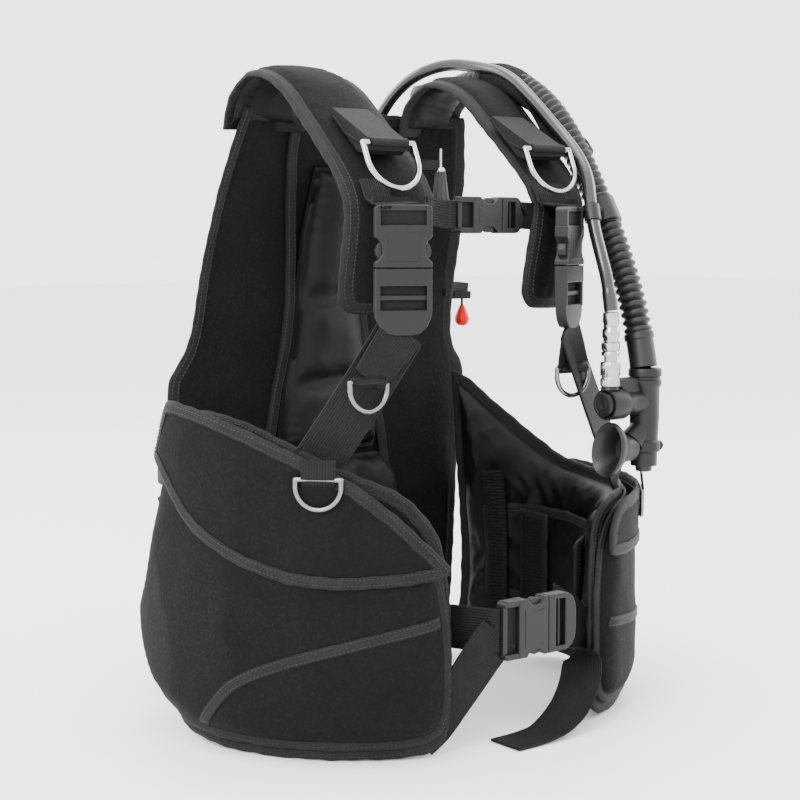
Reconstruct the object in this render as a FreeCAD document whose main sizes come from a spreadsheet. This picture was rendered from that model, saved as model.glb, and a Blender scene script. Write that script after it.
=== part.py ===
"""Buoyancy compensator vest: a jacket with two air lobes, cargo pockets, padded shoulder straps,
side-release buckles, a backpack plate with a tank band, and an inflator on a corrugated hose.

Millimetres, +Z up, floor at z = 0, the vest's front faces -Y and the wearer's left is +X.
Places in the vest are counted from the middle of its ring in plan; the frame's origin stands
behind that middle by FRAME_SHIFT, so that the vest with its tank band stands centred over it.
"""
import FreeCAD, Part
import math
import os
import re

import Sketcher

V = FreeCAD.Vector
os.makedirs("parts", exist_ok=True)
doc = FreeCAD.newDocument("buoyancy_vest")

SIZES = {
    # ring of the lobes and pockets, in plan
    "ring_radius": 224, "ring_offset": 30, "front_angle": 105, "rear_angle": 215,
    "pocket_depth": 12, "pocket_wall": 2.5, "pocket_bottom": 12, "pocket_base": 3,
    "lobe_thick": 27, "lobe_height": 313, "lobe_sag": 100,
    "flap_thick": 3, "flap_drop": 155, "soft_gap": 0.4,
    # back of the vest
    "back_inner": 105, "back_thick": 40, "back_half": 181, "back_foot": 15,
    "pad_thick": 20, "pad_half": 72, "lumbar_half": 95,
    "plate_thick": 20, "plate_half": 110, "plate_low": 130, "plate_high": 480,
    "screw_radius": 6, "screw_head": 3.5, "screw_side": 85,
    "tank_radius": 92, "band_wide": 50, "band_thick": 2.5, "band_gap": 4, "band_level": 210,
    "keeper_half": 22, "keeper_deep": 13,
    "cam_plate": 3, "cam_deep": 14, "cam_half": 30, "cam_pin_radius": 3, "cam_fit": 0.05,
    "valve_radius": 28, "valve_thick": 15, "valve_level": 60,
    # shoulders and chest
    "shoulder_height": 620, "strap_inner": 60, "strap_wide": 90, "left_strap_wide": 73,
    "strap_thick": 16, "chest_depth": 161,
    "web_wide": 46, "web_thick": 2.4, "waist_web": 40, "sternum_web": 25,
    # hardware
    "big_ring_wide": 60, "big_ring_wire": 5, "big_ring_leg": 16,
    "small_ring_wide": 44, "small_ring_wire": 4.5, "small_ring_leg": 6, "loop_wall": 2, "loop_fit": 0.1,
    "buckle_turn": 28, "buckle_stand": 11, "waist_depth": 224, "waist_level": 110, "sternum_drop": 144,
    # hoses and inflator
    "hose_diameter": 27, "lp_diameter": 12, "hose_fit": 0.8,
    "head_x": 150, "head_depth": 207, "head_top": 330, "head_radius": 14,
    "barrel_radius": 15, "barrel_level": 301, "barrel_end": 98,
    "button_radius": 12, "button_fit": 0.3, "button_stand": 5, "button_travel": 4,
    "dump_radius": 8, "dump_travel": 5, "head_bottom": 240,
    "mouth_level": 258, "mouth_radius": 12, "mouth_flare": 23, "mouth_wall": 2.5,
    "coupler_x": 104, "coupler_radius": 9.5, "coupler_bore": 5.8, "coupler_travel": 4,
    "stem_radius": 1.4, "stem_fit": 0.2,
}
sheet = doc.addObject("Spreadsheet::Sheet", "Sizes")
for row, (alias, value) in enumerate(SIZES.items(), start=1):
    sheet.set("A%d" % row, alias)
    sheet.set("B%d" % row, str(value))
    sheet.setAlias("B%d" % row, alias)
doc.recompute()

# Lines and levels that several pieces share, as expressions on the sheet's cells.
LOBE_OUT = "(ring_radius - pocket_depth)"
LOBE_IN = "(ring_radius - pocket_depth - lobe_thick)"
BACK_FACE = "(back_inner + back_thick)"
PLATE_FACE = "(back_inner + back_thick + soft_gap)"
PLATE_BACK = "(back_inner + back_thick + soft_gap + plate_thick)"
TANK_Y = "(%s + band_gap + band_thick + tank_radius)" % PLATE_BACK
BAND_OUT = "(tank_radius + band_thick)"
FRAME_SHIFT = "((%s + %s - ring_radius) / 2)" % (TANK_Y, BAND_OUT)
BUCKLE_Y = "(-chest_depth - 8)"
HEAD_Y = "(-head_depth)"
CAM_X = "(%s + soft_gap)" % BAND_OUT
CAM_PIN_X = "(%s + soft_gap + cam_plate + 8)" % BAND_OUT
CAM_PIN_Y = "(%s - 18)" % TANK_Y
SIDES = {"right": -1, "left": 1}
PAD_AXIS = {"XY": "z", "XZ": "y", "YZ": "x"}
TURNS = {
    "x": FreeCAD.Rotation(V(0, 1, 0), 90),
    "y": FreeCAD.Rotation(V(1, 0, 0), -90),
    "z": FreeCAD.Rotation(),
}
sub_parts = {}


def bound(expression):
    """The expression with every alias written as a cell of the sheet."""
    return re.sub(r"[A-Za-z_]\w*", lambda word: "Sizes." + word.group(0), str(expression))


def size(expression):
    """The expression's value now, for a new feature's first shape."""
    return float(sheet.evalExpression(str(expression)))


def bind(obj, **properties):
    for name, expression in properties.items():
        obj.setExpression(name, bound(expression))
    return obj


def place(obj, x=0, y=0, z=0, turn=None):
    if turn is not None:
        obj.Placement = FreeCAD.Placement(V(), turn)
    for axis, expression in (("x", x), ("y", y), ("z", z)):
        obj.setExpression("Placement.Base." + axis, bound(expression))
    return obj


def sub_part(label, obj, x=0, y=0, z=0, turn=None):
    """Names a finished piece and moves it, whole, from the vest's ring to the frame."""
    if turn is not None:
        obj.Placement = FreeCAD.Placement(obj.Placement.Base, turn)
    set_before = {path.lstrip("."): text for path, text in obj.ExpressionEngine}
    for axis, expression in (("x", x), ("y", "%s - %s" % (y, FRAME_SHIFT)), ("z", z)):
        path = "Placement.Base." + axis
        obj.setExpression(path, "%s + (%s)" % (set_before.get(path, "0"), bound(expression)))
    obj.Label = label
    sub_parts[label] = obj
    return obj


def block(name, x0, x1, y0, y1, z0, z1):
    box = doc.addObject("Part::Box", name)
    bind(box, Length="(%s) - (%s)" % (x1, x0), Width="(%s) - (%s)" % (y1, y0),
         Height="(%s) - (%s)" % (z1, z0))
    return place(box, x0, y0, z0)


def rod(name, radius, length, x=0, y=0, z=0, axis="z"):
    """A round bar that starts at a point and runs along +axis."""
    bar = doc.addObject("Part::Cylinder", name)
    bind(bar, Radius=radius, Height=length)
    return place(bar, x, y, z, TURNS[axis])


def cone(name, radius_a, radius_b, length, x, y, z, axis="z"):
    taper = doc.addObject("Part::Cone", name)
    bind(taper, Radius1=radius_a, Radius2=radius_b, Height=length)
    return place(taper, x, y, z, TURNS[axis])


def fuse(name, *pieces):
    joined = doc.addObject("Part::MultiFuse", name)
    joined.Shapes = list(pieces)
    return joined


def common(name, *pieces):
    shared = doc.addObject("Part::MultiCommon", name)
    shared.Shapes = list(pieces)
    return shared


def cut(name, base, *tools):
    less = doc.addObject("Part::Cut", name)
    less.Base = base
    less.Tool = tools[0] if len(tools) == 1 else fuse(name + "_tools", *tools)
    return less


def group(name, *pieces):
    """Separate solids that share one node."""
    together = doc.addObject("Part::Compound", name)
    together.Links = list(pieces)
    return together


def outline(name, plane, points, middle, length):
    """A pad of a closed outline, centred on `middle` along the axis that leaves its plane."""
    body = doc.addObject("PartDesign::Body", name)
    sketch = body.newObject("Sketcher::SketchObject", name + "_outline")
    role = plane + "_Plane"
    support = next(item for item in body.Origin.OriginFeatures if item.Role == role)
    sketch.AttachmentSupport = [(support, "")]
    sketch.MapMode = "FlatFace"
    corners = [V(size(u), size(v), 0) for u, v in points]
    count = len(corners)
    for index, corner in enumerate(corners):
        sketch.addGeometry(Part.LineSegment(corner, corners[(index + 1) % count]), False)
    for index in range(count):
        sketch.addConstraint(Sketcher.Constraint("Coincident", index, 2, (index + 1) % count, 1))
    for index, (u, v) in enumerate(points):
        for kind, expression in (("DistanceX", u), ("DistanceY", v)):
            number = sketch.addConstraint(
                Sketcher.Constraint(kind, -1, 1, index, 1, size(expression)))
            sketch.setExpression("Constraints[%d]" % number, bound(expression))
    pad = body.newObject("PartDesign::Pad", name + "_pad")
    pad.Profile = sketch
    pad.Midplane = True
    bind(pad, Length=length)
    body.setExpression("Placement.Base." + PAD_AXIS[plane], bound(middle))
    return body


def crossed(name, front, side):
    """A slanted strap: the solid that has one outline from the front and one from the side."""
    wide = outline(name + "_front", "XZ", front, 0, "6 * ring_radius")
    deep = outline(name + "_side", "YZ", side, 0, "6 * ring_radius")
    return common(name, wide, deep)


def sector(name, side, radius, z0, z1, front="front_angle", rear="rear_angle"):
    """A slice of a round disc about one side's middle, from the front angle to the rear one."""
    disc = doc.addObject("Part::Cylinder", name)
    bind(disc, Radius=radius, Height="(%s) - (%s)" % (z1, z0), Angle="(%s) - (%s)" % (rear, front))
    start = "360 - (%s)" % rear if side < 0 else "(%s) - 180" % front
    disc.Placement = FreeCAD.Placement(V(), FreeCAD.Rotation(V(0, 0, 1), size(start)))
    disc.setExpression("Placement.Rotation.Angle", bound(start))
    return place(disc, "%d * ring_offset" % side, 0, z0)


def arc_wall(name, side, inner, outer, z0, z1, **angles):
    solid = sector(name + "_outer", side, outer, z0, z1, **angles)
    hollow = sector(name + "_inner", side, inner, "(%s) - 1" % z0, "(%s) + 1" % z1, **angles)
    return cut(name, solid, hollow)


def d_ring(label, kind, x, y, z, turn):
    """A wire ring: a straight bar along its local X, two legs and a round bow that hangs below."""
    wire = "(%s_ring_wire / 2)" % kind
    reach = "(%s_ring_wide / 2 - %s_ring_wire / 2)" % (kind, kind)
    leg = kind + "_ring_leg"
    bow = doc.addObject("Part::Torus", label + "_bow")
    bind(bow, Radius1=reach, Radius2=wire)
    bow.Angle3 = 180
    place(bow, 0, 0, "-" + leg, FreeCAD.Rotation(V(1, 0, 0), -90))
    bar = rod(label + "_bar", wire, "2 * " + reach, "-" + reach, 0, 0, "x")
    legs = [rod(label + "_leg_%d" % index, wire, leg, "%d * %s" % (index, reach), 0, "-" + leg)
            for index in (-1, 1)]
    knees = []
    for index in (-1, 1):
        knee = doc.addObject("Part::Sphere", label + "_knee_%d" % index)
        bind(knee, Radius=wire)
        knees.append(place(knee, "%d * %s" % (index, reach)))
    sub_part(label, fuse(label, bow, bar, *legs, *knees), x, y, z, turn)


def loop(name, kind, length, x, y, z):
    """A webbing sleeve that runs round a ring's bar, along X."""
    bore = "%s_ring_wire / 2 + loop_fit" % kind
    start = "(%s) - (%s) / 2" % (x, length)
    sleeve = rod(name + "_sleeve", bore + " + loop_wall", length, start, y, z, "x")
    hole = rod(name + "_hole", bore, "(%s) + 2" % length, "(%s) - 1" % start, y, z, "x")
    return sleeve, hole


def buckle(prefix, x, y, z, socket, plug, insert, wide, thick, turn=None):
    """A side-release buckle in three pieces, its mouth at a point and its plug towards +X."""
    half, wall = "(%s) / 2" % wide, 2.5
    shell = block(prefix + "_shell", "-(%s)" % socket, 0, -thick / 2, thick / 2, "-" + half, half)
    room = block(prefix + "_room", "-(%s) - 2" % insert, 1, wall - thick / 2, thick / 2 - wall,
                 "4 - " + half, half + " - 4")
    windows = block(prefix + "_windows", "8 - (%s)" % insert, "20 - (%s)" % insert,
                    wall - thick / 2, thick / 2 - wall, "-1 - " + half, half + " + 1")
    slot = block(prefix + "_slot", "4 - (%s)" % socket, "9 - (%s)" % socket, -thick, thick,
                 "5 - " + half, half + " - 5")
    sub_part(prefix + "_socket", cut(prefix + "_socket", shell, room, windows, slot), x, y, z, turn)

    base = block(prefix + "_base", 0.3, plug, -thick / 2, thick / 2, "-" + half, half)
    tongue = block(prefix + "_tongue", "-(%s)" % insert, 1, -thick / 2 + 3.5, thick / 2 - 3.5, -4, 4)
    slots = [block(prefix + "_ladder_%d" % index, "(%s) - %d" % (plug, 8 * index + 9),
                   "(%s) - %d" % (plug, 8 * index + 4), -thick, thick, "5 - " + half, half + " - 5")
             for index in (0, 1)]
    body = cut(prefix + "_body", fuse(prefix + "_solid", base, tongue), *slots)
    sub_part(prefix + "_plug", body, x, y, z, turn)

    arms = []
    for index in (-1, 1):
        near, far = sorted((5.5 * index, 8.5 * index))
        low = "%s * (%s - 4.4)" % (index, half)
        high = "%s * (%s - 7.4)" % (index, half)
        arm = (low, high) if index < 0 else (high, low)
        tip = "%s * (%s - 1)" % (index, half)
        lug = (tip, high) if index < 0 else (high, tip)
        arms.append(block(prefix + "_arm_%d" % index, "3 - (%s)" % insert, 0.3,
                          -thick / 2 + 3.5, thick / 2 - 3.5, *arm))
        arms.append(block(prefix + "_lug_%d" % index, "9 - (%s)" % insert, "19 - (%s)" % insert,
                          -thick / 2 + 3.5, thick / 2 - 3.5, *lug))
    pair = [fuse(prefix + "_prong_%d" % index, *arms[2 * index:2 * index + 2]) for index in (0, 1)]
    sub_part(prefix + "_prongs", group(prefix + "_prongs", *pair), x, y, z, turn)


def tube(points, diameter):
    """A round tube along straight runs joined by tangent arcs; returns solid, path length, radii."""
    stops = [V(*point) for point in points]
    edges, radii, start = [], [], stops[0]
    for before, corner, after in zip(stops, stops[1:], stops[2:]):
        run_in, run_out = corner - before, after - corner
        turn = run_in.getAngle(run_out)
        reach = 0.45 * min(run_in.Length, run_out.Length)
        radii.append(reach / math.tan(turn / 2))
        heading_in = run_in / run_in.Length
        heading_out = run_out / run_out.Length
        enter, leave = corner - heading_in * reach, corner + heading_out * reach
        inward = heading_out - heading_in
        inward.normalize()
        depth = radii[-1] / math.cos(turn / 2) - radii[-1]
        edges.append(Part.LineSegment(start, enter).toShape())
        edges.append(Part.Arc(enter, corner + inward * depth, leave).toShape())
        start = leave
    edges.append(Part.LineSegment(start, stops[-1]).toShape())
    path = Part.Wire(edges)
    ring = Part.Wire(Part.makeCircle(diameter / 2, stops[0], stops[1] - stops[0]))
    return path.makePipeShell([ring], True, False), path.Length, radii


def cord(label, points, diameter):
    """A hose as a node of its own, and a wider copy that cuts its tunnel in what it runs through."""
    solid, length, radii = tube(points, diameter)
    section = math.pi * (diameter / 2) ** 2
    print("%s: length %.0f mm, volume %.3f of section times length, radii %s" % (
        label, length, solid.Volume / (section * length), [round(radius) for radius in radii]))
    hose = doc.addObject("Part::Feature", label)
    hose.Shape = solid
    sub_part(label, hose)
    tunnel = doc.addObject("Part::Feature", label + "_tunnel")
    tunnel.Shape = tube(points, diameter + 2 * size("hose_fit"))[0]
    return tunnel


def lobes_and_pockets():
    """Air lobes at both sides, each with a cargo pocket outside it and a flap over the pocket."""
    top = "lobe_height"
    front = [("-ring_radius - 6", "lobe_height - 220"), ("-ring_radius - 6", "50"),
             ("12 - ring_radius", "6"), ("30 - ring_radius", "0")]
    tops = {
        "right": [("ring_radius", top), ("-20", top), ("86 - ring_radius", top + " - 38"),
                  ("36 - ring_radius", top + " - 64"), ("12 - ring_radius", top + " - 110")],
        "left": [("ring_radius", top), ("140", top + " - 7"), ("95", top + " - 19"),
                 ("29", top + " - 79"), ("-5", top + " - lobe_sag"),
                 ("34 - ring_radius", top + " - lobe_sag"),
                 ("8 - ring_radius", top + " - lobe_sag - 20")],
    }
    hems = {
        "right": [("ring_radius", top + " - 54"), ("15", top + " - 54"), ("-19", top + " - 96"),
                  ("-85", top + " - 137")],
        "left": [("ring_radius", top + " - 56"), ("140", top + " - 60"), ("95", top + " - 72"),
                 ("29", top + " - 132"), ("-5", top + " - flap_drop")],
    }
    hem_front = [("82 - ring_radius", top + " - flap_drop - 4"),
                 ("-ring_radius - 10", top + " - flap_drop + 6"), ("-ring_radius - 10", "-10"),
                 ("ring_radius", "-10")]
    wide = "6 * ring_radius"
    for name, side in SIDES.items():
        rim = [("ring_radius", "0")] + tops[name] + front

        def under(stem, drop):
            pad = outline(name + stem, "YZ", rim, 0, wide)
            return place(pad, 0, 0, "-(%s)" % drop)

        wall = arc_wall(name + "_lobe_wall", side, LOBE_IN, LOBE_OUT, "0", top)
        sub_part(name + "_lobe", common(name + "_lobe", wall, under("_lobe_rim", 0)))

        inside = LOBE_OUT + " + soft_gap"
        outer = arc_wall(name + "_pocket_wall", side, inside, "ring_radius", "pocket_bottom", top)
        room = sector(name + "_pocket_room", side, "ring_radius - pocket_wall",
                      "pocket_bottom + pocket_base", top + " + 1", front="front_angle + 1",
                      rear="rear_angle - 1")
        shell = common(name + "_pocket_solid", outer, under("_pocket_rim", "flap_thick + 0.6"))
        sub_part(name + "_pocket", cut(name + "_pocket", shell, room))

        skin = "ring_radius + soft_gap"
        cover = arc_wall(name + "_flap_wall", side, inside, skin + " + flap_thick", "0", top)
        over = common(name + "_flap_solid", cover, under("_flap_rim", 0))
        core = common(name + "_flap_core", sector(name + "_flap_room", side, skin, "-5", top),
                      under("_flap_under", "flap_thick"))
        below = outline(name + "_flap_hem", "YZ", hems[name] + hem_front, 0, wide)
        sub_part(name + "_pocket_flap", cut(name + "_pocket_flap", over, core, below))


def mirrored(points):
    """A right-hand half outline, from bottom to top, closed with its mirror image."""
    return points + [("-(%s)" % u, v) for u, v in reversed(points)]


def back():
    """Back panel, pads, backpack plate, tank band with its cam buckle, handle and dump valves."""
    wing = mirrored([("back_half", "back_foot"), ("back_half", "lobe_height"),
                     ("back_half - 10", "lobe_height + 60"), ("back_half - 21", "lobe_height + 131"),
                     ("back_half - 31", "shoulder_height - 100"),
                     ("back_half - 41", "shoulder_height - 60"),
                     ("strap_inner - 4", "shoulder_height - 60"),
                     ("strap_inner - 20", "shoulder_height - 72")])
    lean = "shoulder_height - 170"
    spine = [("back_inner", "0"), ("back_inner", lean), ("back_inner - 42", "shoulder_height - 48"),
             (BACK_FACE + " - 42", "shoulder_height - 48"), (BACK_FACE, lean), (BACK_FACE, "0")]
    sub_part("back_panel", crossed("back_panel", wing, spine))

    rear = "back_inner - soft_gap"
    face = "back_inner - pad_thick"
    pad = mirrored([("pad_half - 14", "lobe_height - 78"), ("pad_half", "lobe_height - 60"),
                    ("pad_half", "shoulder_height - 160"), ("pad_half - 22", "shoulder_height - 95")])
    pad_side = [(rear, "lobe_height - 80"), (rear, lean), (rear + " - 29", "shoulder_height - 94"),
                (face + " - 29", "shoulder_height - 94"), (face, lean), (face, "lobe_height - 80")]
    sub_part("back_pad", crossed("back_pad", pad, pad_side))
    lumbar = mirrored([("lumbar_half - 20", "60"), ("lumbar_half", "90"),
                       ("lumbar_half", "lobe_height - 110"), ("lumbar_half - 30", "lobe_height - 84")])
    middle = "(back_inner - soft_gap + back_inner - pad_thick - 4) / 2"
    sub_part("lumbar_pad", outline("lumbar_pad", "XZ", lumbar, middle, "pad_thick + 4 - soft_gap"))

    board = outline("plate_board", "XZ", mirrored([
        ("plate_half - 25", "plate_low"), ("plate_half", "plate_low + 25"),
        ("plate_half", "plate_high - 60"), ("plate_half - 40", "plate_high")]),
        "(%s + %s) / 2" % (PLATE_FACE, PLATE_BACK), "plate_thick")
    grip_hole = block("plate_grip", -38, 38, "0", "2 * " + PLATE_BACK, "plate_high - 42",
                      "plate_high - 18")
    low, high = "band_level - band_wide / 2", "band_level + band_wide / 2"
    keeper = block("band_keeper", "-keeper_half", "keeper_half", PLATE_BACK + " - 1",
                   PLATE_BACK + " + keeper_deep", low + " - 7", high + " + 7")
    track = cut("band_track",
                rod("band_track_outer", BAND_OUT + " + soft_gap", "band_wide + 2 * soft_gap", 0, TANK_Y,
                    low + " - soft_gap"),
                rod("band_track_inner", "tank_radius - soft_gap", "band_wide + 4", 0, TANK_Y, low + " - 2"))
    tank = rod("tank_room", "tank_radius + band_thick", "band_wide + 40", 0, TANK_Y, low + " - 20")
    sub_part("backpack_plate",
             cut("backpack_plate", fuse("plate_solid", board, keeper), grip_hole, track, tank))
    heads = [rod("screw_%d" % index, "screw_radius", "screw_head", "%d * screw_side" % across,
                 PLATE_BACK, level, "y")
             for index, (across, level) in enumerate(
                 (across, level) for across in (-1, 1) for level in ("plate_low + 35", "plate_high - 75"))]
    sub_part("backpack_screws", group("backpack_screws", *heads))

    sub_part("tank_band", cut("tank_band", rod("band_outer", BAND_OUT, "band_wide", 0, TANK_Y, low),
                              rod("band_inner", "tank_radius", "band_wide + 2", 0, TANK_Y, low + " - 1")))
    cam_buckle(low, high)

    grip = "plate_high + soft_gap"
    arch = [("60", grip), ("60", grip + " + 40"), ("40", grip + " + 60"), ("-40", grip + " + 60"),
            ("-60", grip + " + 40"), ("-60", grip), ("-48", grip), ("-48", grip + " + 35"),
            ("-34", grip + " + 48"), ("34", grip + " + 48"), ("48", grip + " + 35"), ("48", grip)]
    sub_part("carry_handle", outline("carry_handle", "XZ", arch, PLATE_FACE + " + 6", "4"))

    valves = []
    for index, x in enumerate(("31 - back_half", "back_half - 31")):
        cap = rod("valve_cap_%d" % index, "valve_radius", "valve_thick", x, PLATE_FACE, "valve_level",
                  "y")
        crown = rod("valve_crown_%d" % index, "valve_radius - 10", "valve_thick + 4", x, PLATE_FACE,
                    "valve_level", "y")
        valves.append(fuse("valve_%d" % index, cap, crown))
    sub_part("dump_valves", group("dump_valves", *valves))


def cam_buckle(low, high):
    """Frame, pin and lever that draw the tank band tight, on the band's left side."""
    deep = "%s + cam_plate" % CAM_X
    plate = block("cam_plate_base", CAM_X, deep, TANK_Y + " - cam_half", TANK_Y + " + cam_half",
                  low + " - 4", high + " + 4")
    cheeks = [block("cam_cheek_%d" % index, CAM_X, deep + " + cam_deep", TANK_Y + " - cam_half",
                    TANK_Y + " - 4", level + " - 4 + 5 * %d" % index, level + " - 1 + 5 * %d" % index)
              for index, level in enumerate((low, high))]
    bore = rod("cam_bore", "cam_pin_radius + cam_fit", "band_wide + 20", CAM_PIN_X, CAM_PIN_Y,
               low + " - 10")
    sub_part("cam_buckle_frame", cut("cam_buckle_frame", fuse("cam_solid", plate, *cheeks), bore))
    sub_part("cam_buckle_pin", rod("cam_buckle_pin", "cam_pin_radius", "band_wide + 8", CAM_PIN_X,
                                   CAM_PIN_Y, low + " - 4"))
    hub = rod("lever_hub", "cam_pin_radius + 3.5", "band_wide - 3", CAM_PIN_X, CAM_PIN_Y, low + " + 1.5")
    arm = block("lever_arm", CAM_PIN_X + " + 1", CAM_PIN_X + " + 5", CAM_PIN_Y, CAM_PIN_Y + " + 58",
                low + " + 1.5", high + " - 1.5")
    pierce = rod("lever_bore", "cam_pin_radius + cam_fit", "band_wide + 20", CAM_PIN_X, CAM_PIN_Y,
                 low + " - 10")
    sub_part("cam_lever", cut("cam_lever", fuse("lever_solid", hub, arm), pierce))


def shoulder_profile():
    """A shoulder strap from the side: over the shoulder and down the chest to its tip."""
    crest = "shoulder_height"
    outer = [("110", crest + " - 59.6"), ("108", crest + " - 38"), ("70", crest + " - 13"), ("13", crest),
             ("-40", crest + " - 14"), ("77 - chest_depth", crest + " - 53"),
             ("11 - chest_depth", crest + " - 112"), ("-chest_depth", crest + " - 150"),
             ("15 - chest_depth", crest + " - 234")]
    inner = [("14 - chest_depth + strap_thick", crest + " - 230"),
             ("-chest_depth + strap_thick", crest + " - 152"),
             ("10 - chest_depth + strap_thick", crest + " - 118"),
             ("71 - chest_depth + strap_thick", crest + " - 66"),
             ("-34", crest + " - 16 - strap_thick"), ("13", crest + " - 2 - strap_thick"),
             ("54", crest + " - 16 - strap_thick"), ("68", crest + " - 59.6")]
    return outer + inner


SIDE_LAYOUT = {
    # x of the buckle, of the chest ring, of the lower webbing's foot and its level, of the big ring
    "right": (120, 150, 184, "lobe_height - 33", 108),
    "left": (76, 90, 180, "lobe_height - lobe_sag + 8", 80),
}


def straps():
    """Shoulder straps, their buckles, rings and lower webbings."""
    profile = shoulder_profile()
    tabs = []
    for name, side in SIDES.items():
        buckle_x, tail_x, foot_x, foot_z, ring_x = SIDE_LAYOUT[name]
        wide = "strap_wide" if name == "right" else "left_strap_wide"
        sub_part(name + "_shoulder_strap",
                 outline(name + "_shoulder_strap", "YZ", profile, "%d * (strap_inner + %s / 2)" % (
                     side, wide), wide))
        bar_y, bar_z = "22 - chest_depth - big_ring_wire", "shoulder_height - 82"
        d_ring(name + "_shoulder_ring", "big", side * ring_x, bar_y, bar_z,
               FreeCAD.Rotation(V(1, 0, 0), -24))
        sleeve, hole = loop(name + "_ring_loop", "big", 40, side * ring_x, bar_y, bar_z)
        patch = outline(name + "_ring_patch", "YZ", [
            ("76.6 - chest_depth", "shoulder_height - 52.6"), ("73 - chest_depth", "shoulder_height - 49"),
            ("17 - chest_depth", "shoulder_height - 79"), (bar_y, "shoulder_height - 88"),
            ("24 - chest_depth", "shoulder_height - 92"), ("36 - chest_depth", "shoulder_height - 88.6")],
            side * ring_x, 40)
        tabs.append(cut(name + "_ring_tab", fuse(name + "_tab_solid", sleeve, patch), hole))
        middle = side * buckle_x
        tabs.append(block(name + "_buckle_tab", "%d - web_wide / 2 + 3" % middle,
                          "%d + web_wide / 2 - 3" % middle, "-chest_depth - 4", "-chest_depth - 0.4",
                          "shoulder_height - 135.7", "shoulder_height - 129"))
        outward = FreeCAD.Rotation(V(0, 0, 1), side * size("buckle_turn"))
        buckle(name + "_shoulder", middle, BUCKLE_Y + " - buckle_stand", "shoulder_height - 190", 54,
               58, 32, 50, 13, outward.multiply(FreeCAD.Rotation(V(0, 1, 0), 90)))

        start = "shoulder_height - 248.5"
        half = "web_wide / 2"
        front = [("%d - %s" % (middle, half), start), ("%d + %s" % (middle, half), start),
                 ("%d + %s" % (side * foot_x, half), foot_z), ("%d - %s" % (side * foot_x, half), foot_z)]
        depth = [(BUCKLE_Y + " + 1", start), (BUCKLE_Y + " + 1 + web_thick", start),
                 ("16 - chest_depth + web_thick", foot_z), ("16 - chest_depth", foot_z)]
        sub_part(name + "_lower_webbing", crossed(name + "_lower_webbing", front, depth))

        ring_z = "shoulder_height - 287"
        tail_y = BUCKLE_Y + " - 2"
        sleeve, hole = loop(name + "_tail_loop", "small", 34, side * tail_x, tail_y, ring_z)
        tail = outline(name + "_tail_strip", "XZ", [
            ("%d - 21" % middle, start), ("%d + 21" % middle, start),
            ("%d + 16" % (side * tail_x), ring_z), ("%d - 16" % (side * tail_x), ring_z)],
            tail_y, "web_thick")
        sub_part(name + "_chest_tail", cut(name + "_chest_tail", fuse(name + "_tail", tail, sleeve), hole))
        d_ring(name + "_chest_ring", "small", side * tail_x, tail_y, ring_z, FreeCAD.Rotation())

    guide = cut("toggle_guide", block("toggle_guide_block", "-strap_inner", "-strap_inner + 20",
                                      "30 - chest_depth", "44 - chest_depth", "shoulder_height - 103",
                                      "shoulder_height - 95"),
                rod("toggle_guide_hole", "stem_radius + stem_fit", 20, "-strap_inner + 13",
                    "36 - chest_depth", "shoulder_height - 110"))
    knob_guide = cut("knob_guide", block("knob_guide_block", "back_half - 12", "back_half + 11",
                                         "back_inner - 7", "back_inner + 7", "lobe_height + 75",
                                         "lobe_height + 83"),
                     rod("knob_guide_hole", "stem_radius + stem_fit", 20, "back_half + 4",
                         "back_inner", "lobe_height + 70"))
    sub_part("webbing_tabs", group("webbing_tabs", *tabs, guide, knob_guide))

    pull = fuse("dump_toggle", cone("toggle_cone", 9, 5.5, 34, "-strap_inner + 13",
                                    "36 - chest_depth", "shoulder_height - 139"),
                rod("toggle_stem", "stem_radius", 26, "-strap_inner + 13", "36 - chest_depth",
                    "shoulder_height - 110"))
    sub_part("dump_toggle", pull)
    ball = doc.addObject("Part::Sphere", "knob_ball")
    ball.Radius = 8
    place(ball, "back_half + 4", "back_inner", "lobe_height + 53")
    knob = fuse("red_knob", ball, rod("knob_stem", "stem_radius", 32, "back_half + 4", "back_inner",
                                      "lobe_height + 56"))
    sub_part("red_knob", knob)


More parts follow.
